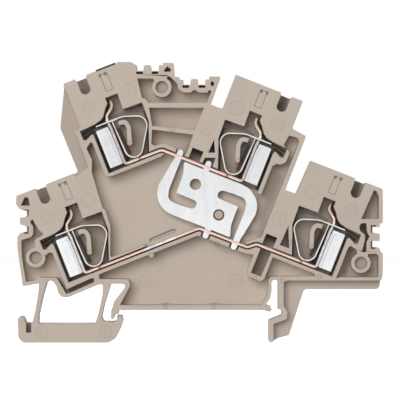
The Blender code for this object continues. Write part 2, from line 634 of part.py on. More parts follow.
def raise_features(collection):
    """What stands up from the floor of the pockets, and the pins on the closed side."""
    for clamp in CLAMPS:
        hook_rib(clamp, collection)
    for i, (x, z) in enumerate(BOSSES):
        drum(f"boss {i}", x, z, BOSS_RADIUS, NEAR + 0.05, FLOOR + 0.15, collection)
        drum(f"stacking pin {i}", x, z, BOSS_HOLE_RADIUS - PIN_CLEARANCE, BACK - 0.2,
             BACK + PIN_LENGTH, collection, sides=20)
    drum("ledge lug", *LEDGE_LUG, NEAR + 0.07, FLOOR + 0.22, collection, sides=20)
    for i, x in enumerate(SEAT_BUMPS):
        bump = [(x - 1.1, 0.4), (x - 0.9, SEAT_BUMP_TOP, 0.3), (x + 0.9, SEAT_BUMP_TOP, 0.3), (x + 1.1, 0.4)]
        plate(f"seat bump {i}", [bump], NEAR + 0.6, FLOOR + 0.3, collection)
    x, z = on_link(*LINK_HOLE[:1], -LINK_HOLE[1])
    drum("link pin", x, z, LINK_HOLE_RADIUS - GAP, link_faces()[0] - 0.1, FLOOR + 0.2, collection, sides=20)


def cut_openings(collection):
    """The wire funnels, the driver openings and the blind holes of the bosses."""
    for clamp, (_, _, top) in CLAMPS.items():
        bottom = FUNNEL_END_V - sqrt(FUNNEL_RADIUS ** 2 - WIRE_RADIUS ** 2)
        profile = [(0.2, WIRE_RADIUS), (bottom, WIRE_RADIUS)]
        for step in range(1, 6):
            v = bottom + (FUNNEL_END_V - bottom) * sin(pi / 2 * step / 6)
            profile.append((v, sqrt(FUNNEL_RADIUS ** 2 - (FUNNEL_END_V - v) ** 2)))
        profile += [(FUNNEL_END_V, FUNNEL_RADIUS), (top + 1, FUNNEL_RADIUS)]
        turned("wire way " + clamp, clamp, FUNNEL_U, profile, collection)
        driver = [(-0.7, top + 1), (-0.9, 9.4), (-3.6, 5.6), (-3.6, 1.0), (-6.2, 1.0), (-5.8, 5.6),
                  (-5.6, top + 1)]
        half = DRIVER_DEPTH / 2
        plate("driver way " + clamp, [along(clamp, driver)], METAL_SHIFT - half, METAL_SHIFT + half,
              collection)
        mark = [(-2.95, 6.3), (-1.4, 6.3), (-1.4, 10.1), (-2.95, 10.1)]
        plate("mark " + clamp, [along(clamp, mark)], BEYOND - 0.2, NEAR + MARK_DEPTH, collection)
        for u in MARK_NOTCHES:
            notch = [(u - 0.25, 9.6), (u + 0.25, 9.6), (u + 0.25, 10.25), (u - 0.25, 10.25)]
            plate(f"mark notch {clamp} {u}", [along(clamp, notch)], BEYOND, NEAR + NOTCH_DEPTH, collection)
    recess = [(-10.95, 14.75, 0.1), (-11.05, 15.35, 0.25), (-5.95, 17.5, 0.3), (-5.3, 17.35, 0.2),
              (-5.4, 16.75, 0.1)]
    plate("shallow recess", [recess], FLOOR - 1.0, FLOOR + RECESS_DEPTH, collection)
    low, high = EDGE_STRIP_U
    relief = along("upper_left", [(low, 11.08), (high, 11.08), (high, 12.5), (low, 12.5)])
    plate("edge strip room", [relief], BEYOND - 0.3, EDGE_STRIP_NEAR, collection)
    for i, (x, z) in enumerate(BOSSES):
        drum(f"boss hole {i}", x, z, BOSS_HOLE_RADIUS, BEYOND, NEAR + BOSS_HOLE_DEPTH, collection, sides=24)


# The pieces

def make_housing(parts, cutters):
    pockets = group("housing pockets", cutters)
    raised = group("housing raised", cutters)
    openings = group("housing openings", cutters)
    cut_pockets(pockets)
    raise_features(raised)
    cut_openings(openings)
    housing = plate("housing", [outer_outline(), FOOT_HOLE], NEAR, BACK, parts)
    boolean(housing, "DIFFERENCE", pockets)
    boolean(housing, "UNION", raised)
    boolean(housing, "DIFFERENCE", openings)
    return housing


def make_spring(clamp, parts):
    """A spring strip: its window leg has a window that its other end passes up through.

    The strip is a grid of rows along its path and columns across it. Faces are left out in the
    window and beside the tongue before the sheet gets its thickness.
    """
    path = filleted(SPRING_PATH, closed=False)
    for axis, value in ((0, WINDOW_RIM_U), (0, WINDOW_END_U), (1, TONGUE_V)):
        path = with_vertex(path, axis, value)
    columns = [-METAL_WIDTH / 2, -WINDOW_WIDTH / 2, -TONGUE_WIDTH / 2,
               TONGUE_WIDTH / 2, WINDOW_WIDTH / 2, METAL_WIDTH / 2]
    mesh = bpy.data.meshes.new("spring_" + clamp)
    work = bmesh.new()
    grid = []
    for u, v in path:
        x, z = at(clamp, u, v)
        grid.append([work.verts.new((x * MM, (METAL_SHIFT + y) * MM, z * MM)) for y in columns])
    on_leg = False
    for i in range(len(path) - 1):
        u, v = (path[i][0] + path[i + 1][0]) / 2, (path[i][1] + path[i + 1][1]) / 2
        on_leg = on_leg or v < -8
        for j in range(len(columns) - 1):
            y = (columns[j] + columns[j + 1]) / 2
            if not on_leg and WINDOW_END_U < u < WINDOW_RIM_U and abs(y) < WINDOW_WIDTH / 2:
                continue
            if on_leg and v > TONGUE_V and abs(y) > TONGUE_WIDTH / 2:
                continue
            work.faces.new((grid[i][j], grid[i][j + 1], grid[i + 1][j + 1], grid[i + 1][j]))
    bmesh.ops.delete(work, geom=[v for v in work.verts if not v.link_faces], context="VERTS")
    bmesh.ops.recalc_face_normals(work, faces=work.faces)
    work.to_mesh(mesh)
    work.free()
    spring = link(bpy.data.objects.new("spring_" + clamp, mesh), parts)
    solid = spring.modifiers.new("Sheet thickness", "SOLIDIFY")
    solid.thickness = SPRING_THICKNESS * MM
    solid.offset = 0
    solid.use_even_offset = True
    return spring


def with_vertex(path, axis, value):
    """The path with a vertex wherever its u (axis 0) or v (axis 1) passes a value on a near-straight run."""
    result = [path[0]]
    for a, b in zip(path, path[1:]):
        share = (value - a[axis]) / (b[axis] - a[axis]) if b[axis] != a[axis] else -1
        if 0.001 < share < 0.999:
            result.append((a[0] + share * (b[0] - a[0]), a[1] + share * (b[1] - a[1])))
        result.append(b)
    return result


def make_sleeve(clamp, parts, cutters):
    """A box of folded sheet, open at both ends, with its top outer corner cut round."""
    tools = group("sleeve cutters " + clamp, cutters)
    outline = [(SLEEVE_IN, SLEEVE_BOTTOM), (SLEEVE_OUT, SLEEVE_BOTTOM), (SLEEVE_OUT, SLEEVE_TOP, 0.55),
               (SLEEVE_IN, SLEEVE_TOP)]
    sleeve = plate("sleeve_" + clamp, [along(clamp, outline)], METAL_NEAR, METAL_FAR, parts)
    low, high = SLEEVE_IN + SLEEVE_WALL, SLEEVE_OUT - SLEEVE_WALL
    room = [(low, SLEEVE_BOTTOM - 1), (high, SLEEVE_BOTTOM - 1), (high, SLEEVE_TOP + 1), (low, SLEEVE_TOP + 1)]
    plate("sleeve room " + clamp, [along(clamp, room)], METAL_NEAR + SLEEVE_WALL,
          METAL_FAR - SLEEVE_WALL, tools)
    boolean(sleeve, "DIFFERENCE", tools)
    return sleeve


def make_bars(parts, cutters):
    tools = group("bar cutters", cutters)
    link_slots("link slot", tools)
    half = TONGUE_WIDTH / 2
    for clamp in CLAMPS:
        beside = along(clamp, [(-3.0, -0.7), (2.5, -0.7), (2.5, 5.5), (-3.0, 5.5)])
        plate("near shoulder " + clamp, [beside], METAL_NEAR - 1, METAL_SHIFT - half, tools)
        plate("far shoulder " + clamp, [beside], METAL_SHIFT + half, METAL_FAR + 1, tools)
    bars = []
    for name, path in (("upper_busbar", upper_bar_path()), ("lower_busbar", lower_bar_path())):
        bar = strip(name, path, BAR_THICKNESS, METAL_NEAR, METAL_FAR, parts)
        boolean(bar, "DIFFERENCE", tools)
        bars.append(bar)
    return bars


def make_link(parts, cutters):
    tools = group("link cutters", cutters)
    near, far = link_faces()
    for side in (1, -1):
        x, z = on_link(side * LINK_HOLE[0], -side * LINK_HOLE[1])
        drum(f"link hole {side}", x, z, LINK_HOLE_RADIUS, near - 1, far + 1, tools, sides=24)
    piece = plate("level_link", [link_outline()], near, far, parts)
    boolean(piece, "DIFFERENCE", tools)
    return piece


def make_edge_strip(parts):
    """The black strip behind the near edge of the upper left driver opening."""
    low, high = EDGE_STRIP_U
    outline = along("upper_left", [(low + 0.05, 9.9), (high - 0.05, 9.9), (high - 0.05, 11.5, 0.15),
                                   (low + 0.05, 11.5, 0.15)])
    near = METAL_SHIFT - DRIVER_DEPTH / 2 + 0.03
    return plate("edge_strip", [outline], near, near + EDGE_STRIP_THICKNESS, parts)


def group(name, parent):
    made = bpy.data.collections.new(name)
    parent.children.link(made)
    return made


def main():
    for obj in list(bpy.data.objects):
        bpy.data.objects.remove(obj)
    parts = group("double_level_terminal_block", bpy.context.scene.collection)
    cutters = group("cutters", bpy.context.scene.collection)
    plastic = material("housing_plastic", (0.50, 0.43, 0.37), 0.5, 0.0)
    steel = material("spring_steel", (0.62, 0.60, 0.57), 0.25, 1.0)
    tin = material("tinned_sheet", (0.82, 0.83, 0.85), 0.3, 1.0)
    copper = material("bare_copper", (0.85, 0.52, 0.38), 0.3, 1.0)
    make_housing(parts, cutters).data.materials.append(plastic)
    for clamp in CLAMPS:
        make_spring(clamp, parts).data.materials.append(steel)
        make_sleeve(clamp, parts, cutters).data.materials.append(tin)
    for bar in make_bars(parts, cutters):
        bar.data.materials.append(copper)
    make_link(parts, cutters).data.materials.append(tin)
    make_edge_strip(parts).data.materials.append(material("black_plastic", (0.02, 0.02, 0.02), 0.5, 0.0))
    for obj in cutters.all_objects:
        obj.hide_render = True
        obj.display_type = "WIRE"


main()
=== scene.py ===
# %% [markdown]
# # A double level terminal block, seen from its open side
#
# The real object is a slim moulding that snaps on a 35 mm rail. Four spring clamps, two copper bars
# and a stamped link lie in its pockets. The CAD frame gives every piece its place, and this file
# gives each piece its fine shape and its finish.

# %% Load the frame
from math import cos, radians, sin

import bmesh
import bpy
import numpy as np
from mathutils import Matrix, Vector


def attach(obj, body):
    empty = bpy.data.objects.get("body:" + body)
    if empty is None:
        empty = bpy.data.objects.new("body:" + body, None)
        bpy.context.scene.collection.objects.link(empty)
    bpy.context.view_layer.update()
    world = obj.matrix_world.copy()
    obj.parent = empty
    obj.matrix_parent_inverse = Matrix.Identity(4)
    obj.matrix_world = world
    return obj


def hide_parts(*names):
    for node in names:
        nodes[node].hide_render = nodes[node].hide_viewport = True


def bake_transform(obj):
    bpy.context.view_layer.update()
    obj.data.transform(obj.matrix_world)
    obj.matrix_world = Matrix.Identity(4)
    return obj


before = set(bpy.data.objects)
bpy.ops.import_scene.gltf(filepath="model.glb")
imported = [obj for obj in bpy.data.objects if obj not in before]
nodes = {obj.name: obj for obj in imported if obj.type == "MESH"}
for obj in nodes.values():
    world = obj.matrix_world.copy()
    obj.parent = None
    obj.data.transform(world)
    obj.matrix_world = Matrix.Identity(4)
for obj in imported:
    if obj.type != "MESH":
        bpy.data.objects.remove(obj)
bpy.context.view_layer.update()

print("pieces in the frame:", len(nodes))

# %% [markdown]
# ## The clamps' own frames
#
# All four clamps are the same, tilted 21.5 degrees to the left or to the right. It is easiest to draw
# one clamp with u pointing outwards along its spring and v pointing up along its sleeve, and to turn
# those numbers into the block's x and z afterwards. A matrix product does it for whole arrays at once.

# %% Frames of the clamps
MM = 0.001
TILT = radians(21.5)
# y of the middle of the metal strips, their width, and y of the open side, in millimetres
METAL_Y = -0.35
METAL_WIDTH = 3.6
NEAR_Y = -2.55
# each clamp's origin (x, z) in millimetres, and the side it leans to: -1 is left and 1 is right
CLAMPS = {
    "upper_left": ((-19.39, 41.23), -1),
    "upper_right": ((12.24, 37.46), 1),
    "lower_left": ((-28.16, 17.45), -1),
    "lower_right": ((28.34, 18.70), 1),
}


def at(clamp, uv):
    """x = x0 + side (u cos + v sin), z = z0 - u sin + v cos, for an array of (u, v) rows."""
    (x0, z0), side = CLAMPS[clamp]
    u, v = np.asarray(uv, float).T[:2]
    return np.stack([x0 + side * (u * cos(TILT) + v * sin(TILT)), z0 - u * sin(TILT) + v * cos(TILT)], -1)


def smooth(t):
    """The soft step 3t^2 - 2t^3, held at 0 before t = 0 and at 1 after t = 1."""
    t = np.clip(t, 0, 1)
    return t * t * (3 - 2 * t)


print("clamps:", ", ".join(CLAMPS))

# %% [markdown]
# ## The camera
#
# The photograph was taken from far away with a long lens: the side walls of the pockets hardly
# show. A camera 0.44 m off with a 182 mm lens gives the same nearly flat picture. It isn't turned,
# because the block stands square to the lens.

# %% Camera
CAMERA_DISTANCE = 0.44
CAMERA_HEIGHT = 0.02396
scene = bpy.context.scene
camera = bpy.data.objects.new("camera", bpy.data.cameras.new("camera"))
camera.data.lens = 181.9
camera.data.sensor_width = 36
camera.data.clip_start = 0.01
camera.location = (0, NEAR_Y * MM - CAMERA_DISTANCE, CAMERA_HEIGHT)
camera.rotation_euler = (radians(90), 0, 0)
scene.collection.objects.link(camera)
scene.camera = camera
scene.view_settings.view_transform = "Standard"
print("camera lens:", round(camera.data.lens, 1), "mm")

# %% [markdown]
# ## Light and background
#
# A product shot like this has a white surround that is brighter than the light on the object. The
# world therefore shows white to the camera and to reflections, so the tin mirrors a white studio, while
# dull surfaces get a lower level from it. In the photograph wide floors are as bright as the rims, and
# narrow pockets are dark on all sides, a little more so at their upper left. That is the look of a
# wide soft box round the lens, set slightly up and left. Its own mirror image is switched off, so
# that flat tin shows the white surround and doesn't burn out. A second box lights the closed side.


# %% World
def link_nodes(tree, *pairs):
    """Joins sockets in a node tree, given as (output, input) pairs."""
    for output, target in pairs:
        tree.links.new(output, target)


def seen_directly(tree):
    """1 for camera, mirror and glass rays, 0 for the rays that light a dull surface."""
    path = tree.nodes.new("ShaderNodeLightPath")
    total = None
    for name in ("Is Camera Ray", "Is Glossy Ray", "Is Transmission Ray"):
        if total is None:
            total = path.outputs[name]
            continue
        larger = tree.nodes.new("ShaderNodeMath")
        larger.operation = "MAXIMUM"
        link_nodes(tree, (total, larger.inputs[0]), (path.outputs[name], larger.inputs[1]))
        total = larger.outputs[0]
    return total


DULL_LIGHT, SEEN_LIGHT = 0.16, 1.0
world = bpy.data.worlds.new("white_studio")
scene.world = world
world.use_nodes = True
tree = world.node_tree
tree.nodes.clear()
ambient = tree.nodes.new("ShaderNodeBackground")
ambient.inputs["Color"].default_value = (1.0, 1.0, 1.0, 1)
ambient.inputs["Strength"].default_value = DULL_LIGHT
surround = tree.nodes.new("ShaderNodeBackground")
surround.inputs["Color"].default_value = (1, 1, 1, 1)
surround.inputs["Strength"].default_value = SEEN_LIGHT
choose = tree.nodes.new("ShaderNodeMixShader")
world_out = tree.nodes.new("ShaderNodeOutputWorld")
link_nodes(
    tree, (seen_directly(tree), choose.inputs[0]), (ambient.outputs[0], choose.inputs[1]),
    (surround.outputs[0], choose.inputs[2]), (choose.outputs[0], world_out.inputs[0]),
)
print("world:", world.name)

# %% [markdown]
# ## The two lamps
#
# Each lamp is a glowing square that faces the middle of the block. A row gives its place and its
# size in metres, and its power in watts.


# %% Lamps
def lamp(name, place, size, watts):
    """A square lamp of that size in metres, aimed at the middle of the block."""
    data = bpy.data.lights.new(name, "AREA")
    data.size = size
    data.energy = watts
    obj = bpy.data.objects.new(name, data)
    obj.location = place
    obj.rotation_euler = (Vector((0, 0, 0.024)) - obj.location).to_track_quat("-Z", "Y").to_euler()
    obj.visible_glossy = False
    scene.collection.objects.link(obj)


LAMPS = {
    "soft_box": ((-0.24, -0.92, 0.26), 0.62, 8.55),
    "back_box": ((0.30, 0.95, 0.40), 0.6, 7.0),
}
for name, (place, size, watts) in LAMPS.items():
    lamp(name, place, size, watts)
print("lamps:", ", ".join(LAMPS))

# %% [markdown]
# ## The floor
#
# A pale floor lies 23 mm below the block's feet. Its own glow makes it white to the camera, and the
# dull part of it still darkens a little in the block's shadow.


# %% Floor
def stage_material():
    """Glow and dull grey added where a ray sees the floor directly, and dull grey alone elsewhere."""
    made = bpy.data.materials.new("white_floor")
    made.use_nodes = True
    tree = made.node_tree
    tree.nodes.clear()
    glow = tree.nodes.new("ShaderNodeEmission")
    glow.inputs["Strength"].default_value = 0.9
    dull = tree.nodes.new("ShaderNodeBsdfDiffuse")
    dull.inputs["Color"].default_value = (0.5, 0.5, 0.5, 1)
    both = tree.nodes.new("ShaderNodeAddShader")
    choose = tree.nodes.new("ShaderNodeMixShader")
    out = tree.nodes.new("ShaderNodeOutputMaterial")
    link_nodes(
        tree, (glow.outputs[0], both.inputs[0]), (dull.outputs[0], both.inputs[1]),
        (seen_directly(tree), choose.inputs[0]), (dull.outputs[0], choose.inputs[1]),
        (both.outputs[0], choose.inputs[2]), (choose.outputs[0], out.inputs[0]),
    )
    return made


FLOOR_Z = -0.0302
FLOOR_HALF = 1.5
floor_mesh = bpy.data.meshes.new("floor")
corners = np.array([[-1, -1], [1, -1], [1, 1], [-1, 1]]) * FLOOR_HALF
floor_mesh.from_pydata([(x, y, FLOOR_Z) for x, y in corners.tolist()], [], [(0, 1, 2, 3)])
floor = bpy.data.objects.new("floor", floor_mesh)
scene.collection.objects.link(floor)
floor.data.materials.append(stage_material())
print("floor at z =", FLOOR_Z, "m")

# %% [markdown]
# ## A drawing board for painted shade
#
# Ejector pins leave faint circles, and narrow gaps beside metal lie in deep shade. Their shade is
# painted: it is drawn on a board that covers the open side at 20 pixels per millimetre. Each stroke
# follows a path, and its strength falls off with the distance from it. Red holds painted shade in
# grooves and round rims, green painted shade and reflection along the folds of the tin, and blue
# painted shadow in the gaps and narrow pockets.

# %% Drawing board
BOARD_LOW = np.array([-41.0, -8.0])
BOARD_SIZE = np.array([82.0, 64.0])
PER_MM = 20
# past this many reaches a stroke is weaker than 0.2 %, so it is cut off there
DRAWN_REACHES = 2.5
# channels of painted shade: in grooves and rims, along the tin's folds, and in gaps
GROOVE_SHADE, FOLD_SHADE, GAP_SHADE = 0, 1, 2
board = np.zeros((*(BOARD_SIZE[::-1] * PER_MM).astype(int), 4), np.float32)


def draw(channel, strength, reach, path):
    """Raises a channel to strength x exp(-(distance / reach)^2) round a path of (x, z) points.

    The distance to one segment a...b is |p - a - t (b - a)|, with t = (p - a)(b - a) / |b - a|^2 held
    between 0 and 1, and the nearest segment counts.
    """
    path = np.asarray(path, float)
    low = ((path.min(axis=0) - DRAWN_REACHES * reach - BOARD_LOW) * PER_MM).astype(int).clip(0)
    high = ((path.max(axis=0) + DRAWN_REACHES * reach - BOARD_LOW) * PER_MM).astype(int)
    part = board[low[1]:high[1], low[0]:high[0], channel]
    z, x = np.indices(part.shape)
    pixels = np.stack([x + low[0], z + low[1]], -1) / PER_MM + BOARD_LOW
    nearest = np.full(part.shape, np.inf)
    for a, b in zip(path, path[1:]):
        t = np.clip((pixels - a) @ (b - a) / ((b - a) @ (b - a)), 0, 1)
        nearest = np.minimum(nearest, np.linalg.norm(pixels - a - t[..., None] * (b - a), axis=-1))
    np.maximum(part, strength * np.exp(-(nearest / reach) ** 2), out=part)


def circle(x, z, radius):
    """A closed path: (x + r cos a, z + r sin a)."""
    angle = np.linspace(0, 2 * np.pi, 37)
    return np.stack([x + radius * np.cos(angle), z + radius * np.sin(angle)], -1)


print("board:", board.shape[1], "x", board.shape[0], "pixels")

# %% [markdown]
# ## Ejector circles and small lugs
#
# An ejector circle has a place (x, z) and a radius in millimetres. Its ring is painted shade, with a
# faint darker blot inside it. A lug is a small round place whose rim is drawn as a darker ring of
# painted shade.

# %% Ejector circles and small lugs
EJECTORS = [
    (-24.4, 23.9, 1.5), (-33.3, 20.3, 1.3), (-11.9, 6.1, 1.4), (-34.4, -4.7, 1.3), (-20.5, -4.7, 1.3),
    (24.3, 25.6, 1.5), (32.9, 21.7, 1.4), (17.2, 19.7, 1.5), (7.9, 6.3, 1.4), (-15.5, 47.8, 1.5),
    (-24.3, 44.2, 1.3), (8.0, 44.0, 1.5), (1.5, 39.5, 1.5), (16.8, 40.4, 1.4),
]
LUGS = [(-10.7, 12.0), (11.9, 6.9), (19.7, 14.7), (25.9, 7.2), (17.9, 6.4), (3.7, 14.4), (-6.0, 39.3),
        (4.1, 20.7), (-7.45, 0.75), (3.0, 0.75)]
for x, z, radius in EJECTORS:
    draw(GROOVE_SHADE, 0.15, 0.18, circle(x, z, radius))
    draw(GROOVE_SHADE, 0.06, radius * 0.7, [(x - 0.1, z), (x + 0.1, z)])
for x, z in LUGS:
    draw(GROOVE_SHADE, 0.4, 0.12, circle(x, z, 0.45))
print("ejector circles:", len(EJECTORS), "lugs:", len(LUGS))

# %% [markdown]
# ## Marks and gaps of the clamps
#
# The same strokes serve all four clamps, because they are written in a clamp's own frame. Every head
# has an engraved mark and every hook a round pad, whose outlines get painted shade, and the gaps
# beside the springs and the sleeves get painted shadow.

# %% Marks and gaps of the clamps
MARK = [(-2.95, 10.1), (-2.95, 6.3), (-1.4, 6.3), (-1.4, 10.1), (-2.95, 10.1)]
# each row is the strength of the painted shadow in a gap, its reach in millimetres and its path in (u, v)
CLAMP_GAP_SHADES = [
    (0.95, 0.30, [(4.4, -1.3), (4.4, -10.2)]),
    (1.0, 0.35, [(4.2, -10.15), (4.45, -10.15)]),
    (0.2, 0.35, [(1.2, -10.1), (4.3, -10.1)]),
    (1.0, 0.22, [(0.12, -2.5), (0.12, -9.3)]),
    (1.0, 0.45, [(-0.45, -8.1), (-0.2, -9.2)]),
    (0.9, 0.50, [(-0.85, -2.3), (-1.15, -7.9)]),
    (0.9, 0.30, [(-7.45, -0.6), (-7.3, -3.0), (-6.4, -5.6), (-4.95, -9.3)]),
    (1.0, 0.35, [(-0.7, 4.7), (-0.55, 3.6), (0.3, 2.6), (1.3, 1.2), (2.2, 0.55), (4.2, 0.1), (6.9, -0.4)]),
    (1.0, 0.50, [(4.6, -0.7), (6.6, -1.2)]),
    (0.15, 0.35, [(-7.0, 0.95), (-3.4, 1.2)]),
    (0.6, 0.50, [(-7.7, 1.0), (-6.7, 1.0)]),
]
# the line from which three arcs of painted shade rise over a spring's loop
LOOP_TOP = [(-0.6, 0.3), (-2.6, 0.45), (-5.3, 0.4), (-7.2, -0.7)]
FOLD_PANEL = [(1.65, -9.4), (1.65, -2.2), (1.75, -1.85), (2.05, -1.65),
              (3.3, -1.65), (3.6, -1.8), (3.7, -2.2), (3.7, -9.4)]
for clamp in CLAMPS:
    # painted shade in each head's engraved mark and its two notches, and round the hook's pad
    draw(GROOVE_SHADE, 0.55, 0.1, at(clamp, MARK))
    for u in (-1.35, -2.6):
        draw(GROOVE_SHADE, 1.0, 0.16, at(clamp, [(u, 9.65), (u, 10.15)]))
    pad = at(clamp, [(-2.05, -6.0)])[0]
    draw(GROOVE_SHADE, 0.4, 0.12, circle(*pad, 0.42))
    for strength, reach, path in CLAMP_GAP_SHADES:
        draw(GAP_SHADE, strength, reach, at(clamp, path))
    for rise in (0.1, 0.5, 0.9):
        draw(GAP_SHADE, 0.42, 0.13, at(clamp, [(u, v + rise * (0.4 - 0.1 * u)) for u, v in LOOP_TOP]))
    # painted shadow under the bar's run beside a left clamp
    if clamp.endswith("left"):
        draw(GAP_SHADE, 0.95, 0.16, at(clamp, [(-0.5, -10.35), (-9.8 if "upper" in clamp else -25.2, -10.35)]))
    # painted shade in the wire funnel
    funnel = 0.65 if clamp.endswith("left") else 0.8
    draw(GAP_SHADE, funnel, 1.7, at(clamp, [(2.7, 6.8), (2.7, 10.6)]))
    # painted shade and reflection along the sleeve's fold, and a faint stroke of it down its face
    draw(FOLD_SHADE, 0.75 if clamp == "lower_right" else 0.4, 0.12, at(clamp, FOLD_PANEL[:4]))
    draw(FOLD_SHADE, 0.10, 0.10, at(clamp, FOLD_PANEL[3:]))
    draw(FOLD_SHADE, 0.08, 0.8, at(clamp, [(2.7, -3.0), (2.7, -8.5)]))
print("dark gaps in each clamp:", len(CLAMP_GAP_SHADES))

# %% [markdown]
# ## Shade in the narrow arms of the wide pockets
#
# In the photograph the wide pockets grow darker where they run into a narrow arm. Broad strokes do
# that here. Each row is a strength, a reach in millimetres and a path in (x, z).

# %% Shade in the narrow arms of the wide pockets
SHADES = [
    (0.40, 1.6, [(13.6, 16.5), (14.2, 21.0), (17.3, 28.5)]),
    (0.35, 1.0, [(11.0, 16.6), (14.5, 17.4)]),
    (0.55, 0.9, [(31.7, 8.2), (33.2, 12.6)]),
    (0.30, 1.6, [(33.0, 8.3), (37.5, 8.3)]),
    (0.45, 1.3, [(-25.0, 36.5), (-23.3, 31.0)]),
    (0.35, 1.2, [(15.5, 36.0), (17.5, 32.0)]),
    (1.00, 1.3, [(-1.6, 35.1), (0.4, 34.4)]),
    (1.00, 1.3, [(14.6, 16.3), (16.6, 15.5)]),
    (0.35, 1.2, [(13.9, 12.5), (12.6, 9.0)]),
    (1.00, 1.0, [(2.9, 36.6), (3.1, 35.0)]),
    (0.60, 0.6, [(18.9, 16.8), (19.4, 14.0)]),
    (0.60, 0.5, [(37.0, 15.2), (35.9, 17.8)]),
]
for strength, reach, path in SHADES:
    draw(GAP_SHADE, strength, reach, path)
# a painted shadow along the upper left edges of a shallow recess
RECESS = [(-10.95, 14.75), (-11.05, 15.35), (-5.95, 17.5), (-5.3, 17.35)]
draw(GROOVE_SHADE, 0.8, 0.14, RECESS)
print("painted share of the board:", round(float((board > 0.02).any(axis=2).mean()), 3))

# %% [markdown]
# ## The board as an image
#
# A shader can read an image but not an array, so the board is copied into one. Its numbers are
# amounts and not colours, so the colour space is Non-Color, and alpha is 1 everywhere.

# %% The board as an image
board_image = bpy.data.images.new("board", board.shape[1], board.shape[0], float_buffer=True)
board_image.colorspace_settings.name = "Non-Color"
board[..., 3] = 1
board_image.pixels.foreach_set(board.ravel())
board_image.update()
board_image.pack()
print("board image:", *board_image.size)

# %% [markdown]
# ## A second colour in patches
#
# A shader is a graph of small nodes. This helper lays a second colour over the first by a vertex
# attribute, which is a number that every corner of a mesh carries.


# %% A second colour in patches
def patched(tree, base, noise, attribute, second):
    """From base to second by an attribute: evenly, or in a short step where attribute + noise passes 1."""
    share = tree.nodes.new("ShaderNodeAttribute")
    share.attribute_name = attribute
    factor = share.outputs["Fac"]
    if noise:
        total = tree.nodes.new("ShaderNodeMath")
        total.operation = "ADD"
        step = tree.nodes.new("ShaderNodeMapRange")
        step.interpolation_type = "SMOOTHSTEP"
        step.inputs["From Min"].default_value = 0.9
        step.inputs["From Max"].default_value = 1.1
        link_nodes(
            tree, (factor, total.inputs[0]), (noise, total.inputs[1]),
            (total.outputs[0], step.inputs["Value"]),
        )
        factor = step.outputs[0]
    return mixed(tree, base, factor, second)


# %% [markdown]
# ## Reading the board in a shader
#
# A Mapping node turns Object coordinates in metres into 0 to 1 across the board. A stroke would show
# at every depth, so it is also faded by y, for instance to keep it off the closed side.


# %% Reading the board in a shader
def board_channels(tree, place):
    """The board's three channels at (x, z) of the Object coordinates."""
    fit = tree.nodes.new("ShaderNodeMapping")
    x_scale, z_scale = 1 / (BOARD_SIZE * MM)
    fit.inputs["Scale"].default_value = (x_scale, 1, z_scale)
    fit.inputs["Location"].default_value = (-BOARD_LOW[0] / BOARD_SIZE[0], 0, -BOARD_LOW[1] / BOARD_SIZE[1])
    apart = tree.nodes.new("ShaderNodeSeparateXYZ")
    flat = tree.nodes.new("ShaderNodeCombineXYZ")
    picture = tree.nodes.new("ShaderNodeTexImage")
    picture.image = board_image
    channels = tree.nodes.new("ShaderNodeSeparateColor")
    link_nodes(
        tree, (place.outputs["Object"], fit.inputs["Vector"]), (fit.outputs[0], apart.inputs[0]),
        (apart.outputs["X"], flat.inputs["X"]), (apart.outputs["Z"], flat.inputs["Y"]),
        (flat.outputs[0], picture.inputs["Vector"]), (picture.outputs["Color"], channels.inputs[0]),
    )
    return channels.outputs


def between_depths(tree, place, factor, empty, full):
    """The factor, faded from none at y = empty to all of it at y = full."""
    apart = tree.nodes.new("ShaderNodeSeparateXYZ")
    fade = tree.nodes.new("ShaderNodeMapRange")
    fade.inputs["From Min"].default_value = empty * MM
    fade.inputs["From Max"].default_value = full * MM
    both = tree.nodes.new("ShaderNodeMath")
    both.operation = "MULTIPLY"
    link_nodes(
        tree, (place.outputs["Object"], apart.inputs[0]), (apart.outputs["Y"], fade.inputs["Value"]),
        (fade.outputs[0], both.inputs[0]), (factor, both.inputs[1]),
    )
    return both.outputs[0]


def mixed(tree, base, factor, second):
    """base x (1 - factor) + second x factor."""
    mix = tree.nodes.new("ShaderNodeMix")
    mix.data_type = "RGBA"
    colours = [socket for socket in mix.inputs if socket.type == "RGBA"]
    colours[1].default_value = (*second, 1)
    link_nodes(tree, (factor, mix.inputs[0]), (base, colours[0]))
    return [socket for socket in mix.outputs if socket.type == "RGBA"][0]


# %% [markdown]
# ## Finishes
#
# Every finish starts from one Principled shader. A noise on Object coordinates varies its colour
# and roughness, and a finer one gives it a bump, because no moulded or rolled surface is quite even.


